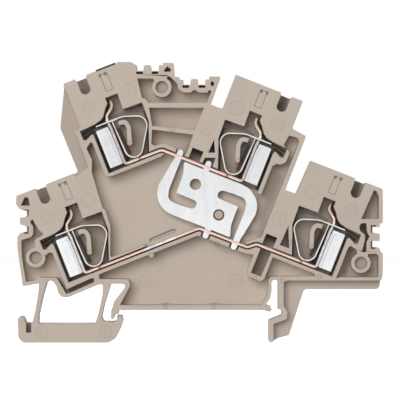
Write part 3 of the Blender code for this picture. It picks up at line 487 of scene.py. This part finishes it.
# %% A finish made of noise
def finish(name, colour, roughness, metallic, variation, grain, bump, stretch=(1, 1, 1), patches=None,
           shade=None, drawn=()):
    """Colour = base x (1 +- variation x noise), roughness +- variation, bump from the fine noise.

    grain is the size of the coarse and of the fine noise in millimetres, and stretch draws both
    out along x, y and z, as rolling or drawing does to a metal. patches names a vertex attribute and
    a second colour that shows where attribute + noise passes 1, and shade names an attribute that
    fades evenly from the colour to a second one: painted shade, and on the bars darker tips as well.
    drawn lists strokes of painted shade from the board to add: a channel, a colour, and pairs of
    depths y between which the stroke fades in.
    """
    made = bpy.data.materials.new(name)
    made.use_nodes = True
    tree = made.node_tree
    shader = tree.nodes["Principled BSDF"]
    shader.inputs["Metallic"].default_value = metallic
    place = tree.nodes.new("ShaderNodeTexCoord")
    mapping = tree.nodes.new("ShaderNodeMapping")
    mapping.inputs["Scale"].default_value = stretch
    link_nodes(tree, (place.outputs["Object"], mapping.inputs["Vector"]))
    noises = []
    for size in grain:
        noise = tree.nodes.new("ShaderNodeTexNoise")
        noise.inputs["Scale"].default_value = 1 / (size * MM)
        noise.inputs["Detail"].default_value = 3
        link_nodes(tree, (mapping.outputs[0], noise.inputs["Vector"]))
        noises.append(noise)
    ramp = tree.nodes.new("ShaderNodeValToRGB")
    ramp.color_ramp.elements[0].position = 0.3
    ramp.color_ramp.elements[1].position = 0.7
    ramp.color_ramp.elements[0].color = (*[c * (1 - variation) for c in colour], 1)
    ramp.color_ramp.elements[1].color = (*[min(1, c * (1 + variation)) for c in colour], 1)
    rough = tree.nodes.new("ShaderNodeMapRange")
    rough.inputs["From Min"].default_value = 0.3
    rough.inputs["From Max"].default_value = 0.7
    rough.inputs["To Min"].default_value = roughness * (1 - variation)
    rough.inputs["To Max"].default_value = roughness * (1 + variation)
    relief = tree.nodes.new("ShaderNodeBump")
    relief.inputs["Strength"].default_value = bump
    relief.inputs["Distance"].default_value = 0.02 * MM
    base = ramp.outputs["Color"]
    if patches:
        base = patched(tree, base, noises[0].outputs["Fac"], *patches)
    if shade:
        base = patched(tree, base, None, *shade)
    channels = board_channels(tree, place) if drawn else None
    for channel, second, *ramps in drawn:
        factor = channels[channel]
        for empty, full in ramps:
            factor = between_depths(tree, place, factor, empty, full)
        base = mixed(tree, base, factor, second)
    link_nodes(
        tree, (noises[0].outputs["Fac"], ramp.inputs["Fac"]), (base, shader.inputs["Base Color"]),
        (noises[0].outputs["Fac"], rough.inputs["Value"]), (rough.outputs[0], shader.inputs["Roughness"]),
        (noises[1].outputs["Fac"], relief.inputs["Height"]), (relief.outputs[0], shader.inputs["Normal"]),
    )
    return made


# %% [markdown]
# ## The six finishes
#
# After its name, a finish has its colour, roughness, share of metal, variation, grain and bump. A
# stroke that fades in between y = 2.4 and y = 2.2 mm stays off the closed side.

# %% The six finishes
OFF_CLOSED_SIDE = (2.4, 2.2)
PLASTIC = (0.50, 0.425, 0.36)
# painted shade: on deep floors, in grooves and round rims, and near black in gaps and narrow pockets
PLASTIC_SHADED = (0.24, 0.19, 0.155)
PLASTIC_GROOVE_SHADE = (0.12, 0.09, 0.07)
PLASTIC_SHADOW = (0.012, 0.009, 0.007)
TIN = (0.73, 0.735, 0.745)
# painted shade on the inside of a sleeve and along its folds
TIN_SHADE = (0.42, 0.43, 0.45)
COPPER = (0.79, 0.54, 0.43)
# painted shade on the bars' legs, a painted reflection of a spring's foot, and darker tips
COPPER_DARK = (0.30, 0.13, 0.08)
STEEL = (0.72, 0.71, 0.69)
BLACK = (0.012, 0.012, 0.012)
plastic = finish("beige_polyamide", PLASTIC, 0.5, 0.0, 0.03, (7, 0.25), 0.25,
                 shade=("depth", PLASTIC_SHADED),
                 drawn=[(GROOVE_SHADE, PLASTIC_GROOVE_SHADE, OFF_CLOSED_SIDE),
                        (GAP_SHADE, PLASTIC_SHADOW, (-1.2, 0.8), OFF_CLOSED_SIDE)])
spring_steel = finish("rolled_spring_steel", STEEL, 0.22, 1.0, 0.1, (1.2, 0.15), 0.2, (0.3, 1, 0.3))
tin = finish("bright_tin", TIN, 0.18, 1.0, 0.05, (2.0, 0.12), 0.25, (1, 0.4, 0.4))
folded_tin = finish("folded_tin", TIN, 0.18, 1.0, 0.05, (2.5, 0.12), 0.25, shade=("painted_inside_shade", TIN_SHADE),
                    drawn=[(FOLD_SHADE, TIN_SHADE, (-1.9, -2.1))])
cut_edge = finish("sheared_copper_edge", TIN, 0.22, 1.0, 0.22, (0.9, 0.12), 0.25, patches=("bare", COPPER),
                  shade=("shade_and_dark_tips", COPPER_DARK))
black = finish("black_plastic", BLACK, 0.5, 0.0, 0.1, (2.0, 0.2), 0.2)
finishes = (plastic, spring_steel, tin, folded_tin, cut_edge, black)
print("finishes:", ", ".join(made.name for made in finishes))

# %% [markdown]
# ## A welded copy of a solid
#
# Plastic can't leave a mould with razor edges, so every rim is slightly rounded and catches a thin
# line of light. The CAD solid has the right form but sharp edges, and its mesh is loose triangles.
# A copy of it is welded first, and its flat faces are joined to larger ones.

# %% A welded copy of a solid
# all in millimetres: the y within which a face is level, the gap that is welded, the shortest edge
LEVEL_LIMIT = 0.001
WELD_DISTANCE = 0.0005
SHORTEST_EDGE = 0.008
MOST_CORNERS = 18


def join_level_faces(work):
    """Joins level faces that share one edge and no other corner, the thinnest first.

    A bevel slides its new corners along every edge that meets a rim, and the thin triangles of a
    flat face would draw long creases that way. A face's height over the edge is 2 area / length.
    """
    level = {face for face in work.faces if np.ptp([v.co.y for v in face.verts]) < LEVEL_LIMIT * MM}
    inner = [e for e in work.edges if len(e.link_faces) == 2 and level.issuperset(e.link_faces)]
    height = {e: min(face.calc_area() for face in e.link_faces) / e.calc_length() for e in inner}
    for edge in sorted(inner, key=height.get):
        if not edge.is_valid or len(edge.link_faces) != 2:
            continue
        one, other = edge.link_faces
        corners = set(one.verts), set(other.verts)
        if len(corners[0] & corners[1]) == 2 and len(corners[0] | corners[1]) <= MOST_CORNERS:
            bmesh.utils.face_join([one, other], True)


def welded_copy(node, name):
    """A copy of a CAD node's mesh with its doubles merged, so that its edges join two faces each.

    Edges under SHORTEST_EDGE are taken out, because a bevel beside them leaves long dark slivers.
    """
    work = bmesh.new()
    work.from_mesh(nodes[node].data)
    bmesh.ops.remove_doubles(work, verts=work.verts, dist=WELD_DISTANCE * MM)
    bmesh.ops.dissolve_degenerate(work, edges=work.edges, dist=SHORTEST_EDGE * MM)
    join_level_faces(work)
    bmesh.ops.recalc_face_normals(work, faces=work.faces)
    mesh = bpy.data.meshes.new(name)
    work.to_mesh(mesh)
    work.free()
    return mesh


def read(collection, attribute, kind, width):
    """One attribute of a whole collection as an array with that many columns."""
    values = np.empty(len(collection) * width, kind)
    collection.foreach_get(attribute, values)
    return values.reshape(-1, width)


# %% [markdown]
# ## Painted shade on the floors
#
# A deep, narrow chamber lies in more shade than a wide pocket, so its floor gets painted shade. The
# CAD model sinks crossing pockets to floors 0.02 mm apart, so a corner's y says which kind of pocket
# it belongs to.

# %% Painted shade on the floors
CHAMBER_FLOOR_Y = 1.85
FLOOR_STEP = 0.02


def depth_shade(mesh):
    """Writes the attribute "depth": how much painted shade a floor gets, by its level.

    Counted from the chambers towards the viewer, the levels are chambers, wide pockets, bar
    channels, small pockets, tab pockets and top pockets. Three more depths, and one corner at the
    far right, have shares of their own.
    """
    x, y, z = read(mesh.vertices, "co", np.float64, 3).T / MM
    level = np.round((CHAMBER_FLOOR_Y - y) / FLOOR_STEP).astype(int)
    by_level = np.array([0.8, 0.0, 0.5, 0.8, 0.8, 0.3])
    known = (level >= 0) & (level < len(by_level))
    shade = np.where(known, by_level[np.clip(level, 0, len(by_level) - 1)], 0.0)
    for depth, share in ((2.10, 0.4), (-1.05, 0.55), (0.15, np.where(x < 0, 0.35, 0.1))):
        shade = np.where(np.abs(y - depth) < 0.005, share, shade)
    shade = np.where(known & (x > 35) & (z > 19.5), 0.45, shade)
    mesh.attributes.new("depth", "FLOAT", "POINT").data.foreach_set("value", shade.astype(np.float32))


# %% [markdown]
# ## Which rims are rounded, and how far
#
# Only edges that lie level and bend sharply get a bevel weight: the rims, and not the diagonals
# that merely split a flat face. A weight of 1 gives the full rounding. Near the open side some
# steps are about as low as the rounding is wide, and a full bevel folds the mesh there, so the rims
# beside such steps are eased to what they have room for. It doesn't remove every fold.

# %% Rounding for each rim
# lengths are in millimetres
RIM_WIDTH = 0.1
RIM_ANGLE = 40
RIM_LEVEL = 0.002
# a rim counts if one of its faces has a normal whose y is below this
TOWARDS_VIEWER = -0.9
# rims nearer than this y, beside a step whose height lies between these two, are eased
RIM_CARE_Y = -2.0
SHALLOW_STEP = (0.025, 0.15)
# an edge is upright if y makes up this share of its length
UPRIGHT = 0.999
# a rounding may use this share of an edge, of which no more than this length counts
ROOM_SHARE = 0.45
ROOM_LENGTH = 0.9
# a smaller share of the rounding than this is left out
LEAST_SHARE = 0.04
# rims that meet at a flatter angle than this sine allows don't limit each other
RIM_SINE = 0.5


def room_for_rim(edge, rims, width):
    """The share of the full rounding that a rim edge has room for.

    A rounding slides its corners along each edge it meets by width / sin(angle). Where that edge is
    short, a full rounding would leave folded slivers.
    """
    share = 1.0
    along = (edge.verts[1].co - edge.verts[0].co).normalized()
    for vert in edge.verts:
        for other in vert.link_edges:
            reach = other.other_vert(vert).co - vert.co
            upright = abs(reach.y) > UPRIGHT * reach.length
            if other == edge or not upright and abs(reach.y) > LEVEL_LIMIT * MM:
                continue
            sine = along.cross(reach.normalized()).length
            if other in rims and sine < RIM_SINE:
                continue
            share = min(share, ROOM_SHARE * sine * min(reach.length, ROOM_LENGTH * MM) / (width * MM))
    return share if share > LEAST_SHARE else 0.0


def beside_shallow_step(edge):
    """Whether a rim near the open side ends at an upright edge as short as a shallow step."""
    low, high = SHALLOW_STEP
    heights = [
        other.calc_length() for vert in edge.verts for other in vert.link_edges
        if abs(other.verts[0].co.y - other.verts[1].co.y) > UPRIGHT * other.calc_length()
    ]
    return edge.verts[0].co.y < RIM_CARE_Y * MM and any(low * MM < h < high * MM for h in heights)


def rim_weights(mesh, width):
    """Bevel weights for the edges that keep one y and whose two faces differ by over RIM_ANGLE degrees.

    The loops are sorted by edge, so that the faces on both sides of each edge stand side by side,
    and the bend is the arc cosine of the dot product of their normals. Returns how many rims there
    are, and how many of them are eased.
    """
    edge_of_loop = read(mesh.loops, "edge_index", int, 1)[:, 0]
    face_of_loop = np.repeat(np.arange(len(mesh.polygons)), read(mesh.polygons, "loop_total", int, 1)[:, 0])
    pairs = face_of_loop[np.argsort(edge_of_loop, kind="stable")].reshape(-1, 2)
    normals = read(mesh.polygons, "normal", np.float64, 3)
    bend = (normals[pairs[:, 0]] * normals[pairs[:, 1]]).sum(axis=1) < cos(radians(RIM_ANGLE))
    y = read(mesh.vertices, "co", np.float64, 3)[:, 1][read(mesh.edges, "vertices", int, 2)]
    level = np.abs(y[:, 0] - y[:, 1]) < RIM_LEVEL * MM
    faces_viewer = (normals[pairs][..., 1] < TOWARDS_VIEWER).any(axis=1)
    chosen = bend & level & faces_viewer
    work = bmesh.new()
    work.from_mesh(mesh)
    work.edges.ensure_lookup_table()
    rims = {work.edges[i] for i in np.flatnonzero(chosen)}
    shares = np.zeros(len(mesh.edges), np.float32)
    for edge in rims:
        shares[edge.index] = room_for_rim(edge, rims, width) if beside_shallow_step(edge) else 1.0
    work.free()
    mesh.attributes.new("bevel_weight_edge", "FLOAT", "EDGE").data.foreach_set("value", shares)
    return len(rims), int((shares[chosen] < 1).sum())


# %% [markdown]
# ## Placing and softening a piece
#
# A finished mesh becomes an object, gets its finish, is parented to the body that carries it, and
# hides the CAD node it stands for. A narrow bevel then rounds its edges, and its level faces stay flat.


# %% Placing and softening a piece
def put(name, mesh, material, body, replaced):
    """Links a finished mesh, dresses it, parents it to what carries it, and hides what it stands for."""
    obj = bpy.data.objects.new(name, mesh)
    scene.collection.objects.link(obj)
    obj.data.materials.append(material)
    if body:
        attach(obj, body)
    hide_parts(replaced)
    return obj


def soften(obj, width, by_weight=False):
    """A narrow bevel, and normals that keep the level faces flat."""
    bevel = obj.modifiers.new("Soft edges", "BEVEL")
    bevel.width = width * MM
    bevel.segments = 2
    bevel.limit_method = "WEIGHT" if by_weight else "ANGLE"
    bevel.angle_limit = radians(35)
    bevel.use_clamp_overlap = False
    bevel.loop_slide = False
    obj.data.shade_smooth()
    obj.data.set_sharp_from_angle(angle=radians(40))
    level = np.abs(read(obj.data.polygons, "normal", np.float64, 3)[:, 1]) > 0.995
    obj.data.polygons.foreach_set("use_smooth", ~level)


# %% [markdown]
# ## The moulding
#
# The helpers above now make the visible moulding, which stands for the housing of the CAD model.

# %% The moulding
moulding_mesh = welded_copy("housing", "moulding")
rim_count, eased_count = rim_weights(moulding_mesh, RIM_WIDTH)
depth_shade(moulding_mesh)
moulding = put("moulding", moulding_mesh, plastic, "block", "housing")
soften(moulding, RIM_WIDTH, by_weight=True)
print("rim edges rounded:", rim_count, "of them eased:", eased_count)

# %% [markdown]
# ## Paths with round corners
#
# Springs and bars are strips of sheet bent in one plane, so each starts as a path in that plane. Its
# corners get arcs, and points are then spread evenly along it.

# %% Paths with round corners
ARC_STEP = radians(9)
# points closer together than this many millimetres are dropped
CLOSEST = 0.02


def rounded(corners):
    """The polyline with an arc at each (u, v, radius) corner.

    The arc's ends lie radius / tan(half the angle between the legs) from the corner, and its points
    turn evenly from one end to the other about the centre between them.
    """
    corners = [np.array((*c, 0.0)[:3]) for c in corners]
    pieces = [corners[0][None, :2]]
    for before, here, after in zip(corners, corners[1:], corners[2:]):
        a = (before[:2] - here[:2]) / np.hypot(*(before[:2] - here[:2]))
        b = (after[:2] - here[:2]) / np.hypot(*(after[:2] - here[:2]))
        half = np.arccos(np.clip(a @ b, -1, 1)) / 2
        if here[2] == 0:
            pieces.append(here[None, :2])
            continue
        reach = here[2] / np.tan(half)
        centre = here[:2] + (a + b) / np.hypot(*(a + b)) * np.hypot(reach, here[2])
        arm = here[:2] + a * reach - centre
        sweep = np.pi - 2 * half
        sign = np.sign(a[1] * b[0] - a[0] * b[1])
        turns = sign * np.linspace(0, sweep, max(3, int(sweep / ARC_STEP) + 2))
        turned = np.stack([arm[0] * np.cos(turns) - arm[1] * np.sin(turns),
                           arm[0] * np.sin(turns) + arm[1] * np.cos(turns)], -1)
        pieces.append(centre + turned)
    pieces.append(corners[-1][None, :2])
    return np.concatenate(pieces)


def resampled(path, spacing, extra=()):
    """Points every spacing millimetres along the path, and at the extra distances, with their distances."""
    length = np.concatenate([[0], np.cumsum(np.hypot(*np.diff(path, axis=0).T))])
    s = np.unique(np.round(np.concatenate([
        np.linspace(0, length[-1], int(length[-1] / spacing) + 2), length, np.asarray(extra, float),
    ]), 4))
    s = s[np.concatenate([[True], np.diff(s) > CLOSEST])]
    return np.stack([np.interp(s, length, path[:, 0]), np.interp(s, length, path[:, 1])], -1), s


# %% [markdown]
# ## A sheet from a path
#
# A bent strip is a grid of rows along the path and columns across it: the path gives x and z, and
# the columns give y. Faces are left out for a window, and Solidify gives the sheet its thickness.


# %% A sheet from a path
def strip_mesh(name, xz, columns, keep):
    """A sheet: row i, column j is the point (x_i, y_ij, z_i), and keep says which faces are there."""
    rows, count = columns.shape
    points = np.empty((rows, count, 3))
    points[..., 0] = xz[:, :1]
    points[..., 1] = columns
    points[..., 2] = xz[:, 1:]
    index = np.arange(rows * count).reshape(rows, count)
    quads = np.stack([index[:-1, :-1], index[:-1, 1:], index[1:, 1:], index[1:, :-1]], -1)[keep]
    used, flat = np.unique(quads, return_inverse=True)
    mesh = bpy.data.meshes.new(name)
    mesh.from_pydata((points.reshape(-1, 3)[used] * MM).tolist(), [], flat.reshape(-1, 4).tolist())
    return mesh, used // count


def thicken(obj, thickness, edge, rim=0):
    """Solidify about the sheet's middle, then a narrow bevel. rim is the material of the cut edge."""
    solid = obj.modifiers.new("Sheet", "SOLIDIFY")
    solid.thickness = thickness * MM
    solid.offset = 0
    solid.use_even_offset = True
    solid.material_offset_rim = rim
    bevel = obj.modifiers.new("Rolled edges", "BEVEL")
    bevel.width = edge * MM
    bevel.segments = 3
    bevel.limit_method = "ANGLE"
    bevel.angle_limit = radians(50)
    bevel.use_clamp_overlap = True
    obj.data.shade_smooth()
    obj.data.set_sharp_from_angle(angle=radians(40))
    normals = obj.modifiers.new("Flat faces", "WEIGHTED_NORMAL")
    normals.keep_sharp = True


# %% [markdown]
# ## The springs
#
# Each spring is one steel strip. One leg stands against the bar, the strip loops back over a round
# shoulder, and its other leg has a window that the first leg and the bar pass up through. A
# driver pushes the window leg outwards to open the clamp. The spring is made as two pieces that
# meet at the bottom bend: the fixed leg, and the rest up to the window.

# %% Springs
# corners are (u, v, radius), and WINDOW is where the window starts and ends in u
TIP_U = 3.6
SPRING = [(TIP_U, 0), (-2.6, 0, 5.0), (-8.16, -1.95, 2.1), (-0.7, -13.6, 1.95), (-0.12, 0.35)]
SPRING_THICKNESS = 0.36
SPRING_EDGE = 0.13
WINDOW = (-3.0, 1.4)
WINDOW_HALF, TONGUE_HALF = 1.25, 1.0
# two heights v on the loop, at which points are worked out below and then not used
BEND_V = (-9.15, -1.2)


def window_half(u):
    """Half the window's width: constant, with round corners of 0.4 at both ends."""
    corner = 0.4
    inside = np.clip(np.minimum(u - WINDOW[0], WINDOW[1] - u), 0, corner)
    return WINDOW_HALF - corner + np.sqrt(corner ** 2 - (corner - inside) ** 2)


spring_path = rounded(SPRING)
lowest = int(np.argmin(spring_path[:, 1]))
for clamp in CLAMPS:
    free, _ = resampled(spring_path[:lowest + 1], 0.25, (TIP_U - WINDOW[1], TIP_U - WINDOW[1] + 0.1))
    on_leg = (free[:, 0] > WINDOW[0] - 0.01) & (free[:, 0] < WINDOW[1] + 0.01) & (free[:, 1] > -0.8)
    w = np.where(on_leg, window_half(free[:, 0]), WINDOW_HALF)
    half = np.full_like(w, METAL_WIDTH / 2)
    columns = METAL_Y + np.stack([-half, -w, w, half], -1)
    keep = np.ones((len(free) - 1, 3), bool)
    keep[:, 1] = ~(on_leg[:-1] & on_leg[1:])
    mesh, _ = strip_mesh("spring_window_leg_" + clamp, at(clamp, free), columns, keep)
    leg = put(mesh.name, mesh, spring_steel, None, "spring_" + clamp)
    thicken(leg, SPRING_THICKNESS, SPRING_EDGE)
    low, high = at(clamp, [(-3, v) for v in BEND_V]) * MM
    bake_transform(leg)

    # the fixed leg narrows to its tongue between v = -2.9 and v = -1.2
    fixed, _ = resampled(spring_path[lowest:], 0.25)
    half = METAL_WIDTH / 2 + (TONGUE_HALF - METAL_WIDTH / 2) * smooth((fixed[:, 1] + 2.9) / 1.7)
    columns = METAL_Y + np.stack([-half, half], -1)
    keep = np.ones((len(fixed) - 1, 1), bool)
    mesh, _ = strip_mesh("spring_fixed_leg_" + clamp, at(clamp, fixed), columns, keep)
    leg = put(mesh.name, mesh, spring_steel, "block", "spring_" + clamp)
    thicken(leg, SPRING_THICKNESS, SPRING_EDGE)
print("spring path:", len(spring_path), "points")

# %% [markdown]
# ## The busbars
#
# Two copper strips, tinned on their faces, join the clamps of each level. Their ends turn up beside
# the springs and finish in a small wave. The cut edge towards the viewer is bare copper where the
# shears went through, with tin smeared over it in places: a vertex attribute holds how bare it is.

# %% Busbar paths
BAR_THICKNESS = 0.55
BAR_V = -9.92
LOWER_DROP = 1.38
BAR_END = [(-1.45, 4.2), (-1.4, 3.15, 0.8), (-0.9, 2.5, 0.6), (0.5, 1.45, 0.8), (0.85, 0.2, 1.5),
           (0.575, -1.5, 2.0), (0.575, BAR_V, 0.6)]


def along(clamp, corners):
    """Clamp corners (u, v, radius) turned into block corners (x, z, radius)."""
    xz = at(clamp, [c[:2] for c in corners])
    return [(*point, *c[2:]) for point, c in zip(xz, corners)]


def crossing(a, b, c, d):
    """The point a + t (b - a) that also lies on the line through c and d."""
    a, b, c, d = (np.asarray(p, float) for p in (a, b, c, d))
    normal = np.array([-(d - c)[1], (d - c)[0]])
    return a + (b - a) * ((c - a) @ normal) / ((b - a) @ normal)


def runs_meet(left, right, drop=0.0):
    """Where the bar's run from the left clamp meets the one from the right clamp."""
    from_left = at(left, [(0, BAR_V), (-1, BAR_V)])
    from_right = at(right, [(0, BAR_V - drop), (-1, BAR_V - drop)])
    return crossing(*from_left, *from_right)


low = BAR_V - LOWER_DROP
upper_path = rounded(
    along("upper_left", BAR_END) + [(*runs_meet("upper_left", "upper_right"), 1.6)]
    + along("upper_right", BAR_END)[::-1]
)
lower_path = rounded(
    along("lower_left", BAR_END) + [(*runs_meet("lower_left", "lower_right", LOWER_DROP), 1.6)]
    + along("lower_right", [(-14.9, low, 1.2), (-13.3, BAR_V, 1.2)]) + along("lower_right", BAR_END)[::-1]
)
print("points in the bars' paths:", len(upper_path), len(lower_path))

# %% [markdown]
# ## Slots for the link
#
# The link's tabs pass through slots in the bars. A slot is a patch of the grid with no faces, so the
# rows at its ends have to be in the grid: their distances along the path are found by projecting
# the tab's place on the path.

# %% Busbars
LINK_MIDDLE = np.array([1.55, 24.06])
P_AXIS = np.array([cos(TILT), -sin(TILT)])
TAB_WIDTH, TAB_PLAY = 1.35, 0.2
LINK_THICKNESS = 0.8
BAR_EDGE = 0.12
# distances from a bar's tip: its bare part, the leg beside the sleeve, the run, and a dark spot, a
# painted reflection of a spring's foot
TIP_END = 4.2
LEG_START, LEG_END = 4.4, 14.6
RUN_START = 15.2
SHADE_SPOT_AT, SHADE_SPOT_REACH = 18.2, 0.35


def distance_at(path, p):
    """The distance along the path where it passes the link's coordinate p."""
    length = np.concatenate([[0], np.cumsum(np.hypot(*np.diff(path, axis=0).T))])
    along_link = (path - LINK_MIDDLE) @ P_AXIS
    middle = slice(np.argmax(along_link > -14), np.argmax(along_link > 14) or None)
    return np.interp(p, along_link[middle], length[middle])


def busbar(name, path, tabs, bare, shade_and_dark_tips, leg_shade):
    """A bar with slots at the link's p coordinates in tabs.

    bare has rows (distance, share), and the share is 1 where the cut edge has no tin. Near each
    distance in the third argument the edge darkens by exp(-(offset / 0.35 mm)^2), a painted
    reflection of a spring's foot. The tips are darker too, and the legs beside the sleeves get
    painted shade by leg_shade.
    """
    ends = [p + e * (TAB_WIDTH / 2 + TAB_PLAY) for p in tabs for e in (-1, 1)]
    cuts = [distance_at(path, p) for p in ends]
    xz, s = resampled(path, 0.3, cuts)
    near_end = np.minimum(s, s[-1] - s)
    half = METAL_WIDTH / 2 + (TONGUE_HALF - METAL_WIDTH / 2) * smooth((5.6 - near_end) / 0.7)
    slot_half = LINK_THICKNESS / 2 + TAB_PLAY
    slot_side = np.full_like(half, slot_half)
    columns = METAL_Y + np.stack([-half, -slot_side, slot_side, half], -1)
    middle = (s[1:] + s[:-1]) / 2
    keep = np.ones((len(s) - 1, 3), bool)
    for start, stop in zip(cuts[::2], cuts[1::2]):
        keep[:, 1] &= ~((middle > start) & (middle < stop))
    mesh, row = strip_mesh(name, xz, columns, keep)
    patches = mesh.attributes.new("bare", "FLOAT", "POINT")
    patches.data.foreach_set("value", np.interp(s[row], *np.array(bare).T).astype(np.float32))
    # painted reflection at the given distances, darker tips, and painted shade on the legs by the sleeves
    dark = np.exp(-((s[row][:, None] - np.asarray(shade_and_dark_tips)) / SHADE_SPOT_REACH) ** 2).max(axis=1)
    near = near_end[row]
    dark = np.maximum(dark, 0.3 * smooth((3.6 - near) / 2.0) + 0.3 * smooth((0.9 - near) / 0.6))
    on_leg = smooth((near - 4.6) / 1.2) * smooth((15.6 - near) / 0.8)
    dark = np.maximum(dark, leg_shade * on_leg)
    mesh.attributes.new("shade_and_dark_tips", "FLOAT", "POINT").data.foreach_set("value", dark.astype(np.float32))
    bar = put(name + "_strip", mesh, tin, "block", name)
    bar.data.materials.append(cut_edge)
    thicken(bar, BAR_THICKNESS, BAR_EDGE, rim=1)


def length_of(path):
    """The length of a path in millimetres."""
    return float(np.hypot(*np.diff(path, axis=0).T).sum())


def bare_rows(length, run):
    """Rows (distance, share): part bare tips, tinned legs beside the sleeves, and run between them."""
    tip = [(0, 0.6), (TIP_END, 0.6), (LEG_START, 0), (LEG_END, 0)]
    return tip + run + [(length - s, share) for s, share in reversed(tip)]


# %% [markdown]
# ## The two bars
#
# Distances run along a bar from its left tip, in millimetres. Both bars have the same tips and legs,
# and differ in the run between their legs.

# %% The two bars
upper_length, lower_length = length_of(upper_path), length_of(lower_path)
busbar(
    "upper_busbar", upper_path, (-9.2, -2.57),
    bare_rows(upper_length, [(RUN_START, 0.62), (upper_length - RUN_START, 0.62)]),
    (SHADE_SPOT_AT, upper_length - SHADE_SPOT_AT), 0.48,
)
busbar(
    "lower_busbar", lower_path, (2.57, 9.2),
    bare_rows(lower_length, [(RUN_START, 0.68), (28.4, 0.68), (29.4, 0), (35.2, 0), (36.2, 0.6),
                             (lower_length - RUN_START, 0.6)]),
    (SHADE_SPOT_AT, lower_length - SHADE_SPOT_AT), 0.3,
)
print("bars:", round(upper_length, 1), "and", round(lower_length, 1), "mm along their paths")

# %% [markdown]
# ## The sleeves
#
# Beside each spring stands a box of thin tinned sheet, open at its top and bottom, that guides the
# wire past the bar. Its section is a rectangle with round folds, and the same section shrunk by the
# sheet's thickness is its inside. Its height varies round the section, because the top outer corner
# is cut round.

# %% Sleeves
SLEEVE_U = (1.02, 4.1)
SLEEVE_V = (-9.6, -0.95)
SLEEVE_WALL = 0.4
# the radius of the cut corner, and the part of it that is used, so that the square root stays real
CUT_RADIUS, CUT_REACH = 0.55, 0.5499
POINTS_AROUND, POINTS_UP = 96, 26
SQUARENESS = 9.0


def box_section(t, inset):
    """A rectangle with round corners, walked once as t goes from 0 to 1.

    |a|^n + |b|^n = 1 with n = 9 is nearly a rectangle, and its corners are round.
    """
    angle = 2 * np.pi * t
    n = SQUARENESS
    a, b = np.cos(angle), np.sin(angle)
    radius = (np.abs(a) ** n + np.abs(b) ** n) ** (-1 / n)
    u_half = (SLEEVE_U[1] - SLEEVE_U[0]) / 2 - inset
    y_half = METAL_WIDTH / 2 - inset
    return sum(SLEEVE_U) / 2 + radius * a * u_half, METAL_Y + radius * b * y_half


def sleeve_mesh(clamp):
    """Four rings of the same section: outside bottom and top, inside top and bottom, and more between."""
    around = POINTS_AROUND
    t = np.arange(around) / around
    k = np.linspace(0, 1, POINTS_UP)
    shells = []
    for inset in (0, SLEEVE_WALL):
        u, y = box_section(t, inset)
        bend = np.clip(u - (SLEEVE_U[1] - CUT_RADIUS), 0, CUT_REACH)
        top = SLEEVE_V[1] - (CUT_RADIUS - np.sqrt(CUT_RADIUS ** 2 - bend ** 2))
        v = SLEEVE_V[0] + (top - SLEEVE_V[0]) * k[:, None]
        inner_side = smooth((SLEEVE_U[0] + 0.6 - u) / 0.6)
        u = u - 0.14 * inner_side * smooth((-1.7 - v) / 0.7)
        uv = np.stack([u, v], -1).reshape(-1, 2)
        xz = at(clamp, uv)
        shells.append(np.stack([xz[:, 0], np.broadcast_to(y, v.shape).ravel(), xz[:, 1]], -1))
    outer, inner = (shell.reshape(len(k), around, 3) for shell in shells)
    rings = np.concatenate([outer, inner[::-1]])
    index = np.arange(len(rings) * around).reshape(len(rings), around)
    index = np.concatenate([index, index[:1]])
    index = np.concatenate([index, index[:, :1]], axis=1)
    quads = np.stack([index[:-1, :-1], index[:-1, 1:], index[1:, 1:], index[1:, :-1]], -1).reshape(-1, 4)
    mesh = bpy.data.meshes.new("tin_sleeve_" + clamp)
    mesh.from_pydata((rings.reshape(-1, 3) * MM).tolist(), [], quads.tolist())
    # painted shade on the inside of the sleeve
    painted_inside_shade = np.repeat([0.0, 0.9], len(k) * around)
    mesh.attributes.new("painted_inside_shade", "FLOAT", "POINT").data.foreach_set("value", painted_inside_shade.astype(np.float32))
    work = bmesh.new()
    work.from_mesh(mesh)
    bmesh.ops.recalc_face_normals(work, faces=work.faces)
    work.to_mesh(mesh)
    work.free()
    return mesh


for clamp in CLAMPS:
    mesh = sleeve_mesh(clamp)
    sleeve = put(mesh.name, mesh, folded_tin, "block", "sleeve_" + clamp)
    soften(sleeve, 0.04)
print("faces in a sleeve:", len(mesh.polygons))

# %% [markdown]
# ## The level link
#
# The S-shaped plate is stamped from thick tinned sheet. Stamping takes the sharpness off its edges,
# so a copy of the solid is welded and its edges get a small bevel.

# %% Level link
mesh = welded_copy("level_link", "link_plate")
link_plate = put(mesh.name, mesh, tin, "block", "level_link")
soften(link_plate, 0.07)
print("faces in the link:", len(mesh.polygons))

# %% [markdown]
# ## The black strip
#
# One black line shows along the top of the upper left head. It is drawn as a thin black strip behind
# the near edge of the driver opening. What makes the line black can't be seen, and the strip is the
# one piece here whose purpose can't be seen.

# %% Black strip
mesh = welded_copy("edge_strip", "black_edge_strip")
strip = put(mesh.name, mesh, black, "block", "edge_strip")
soften(strip, 0.05)
print("faces in the strip:", len(mesh.polygons))
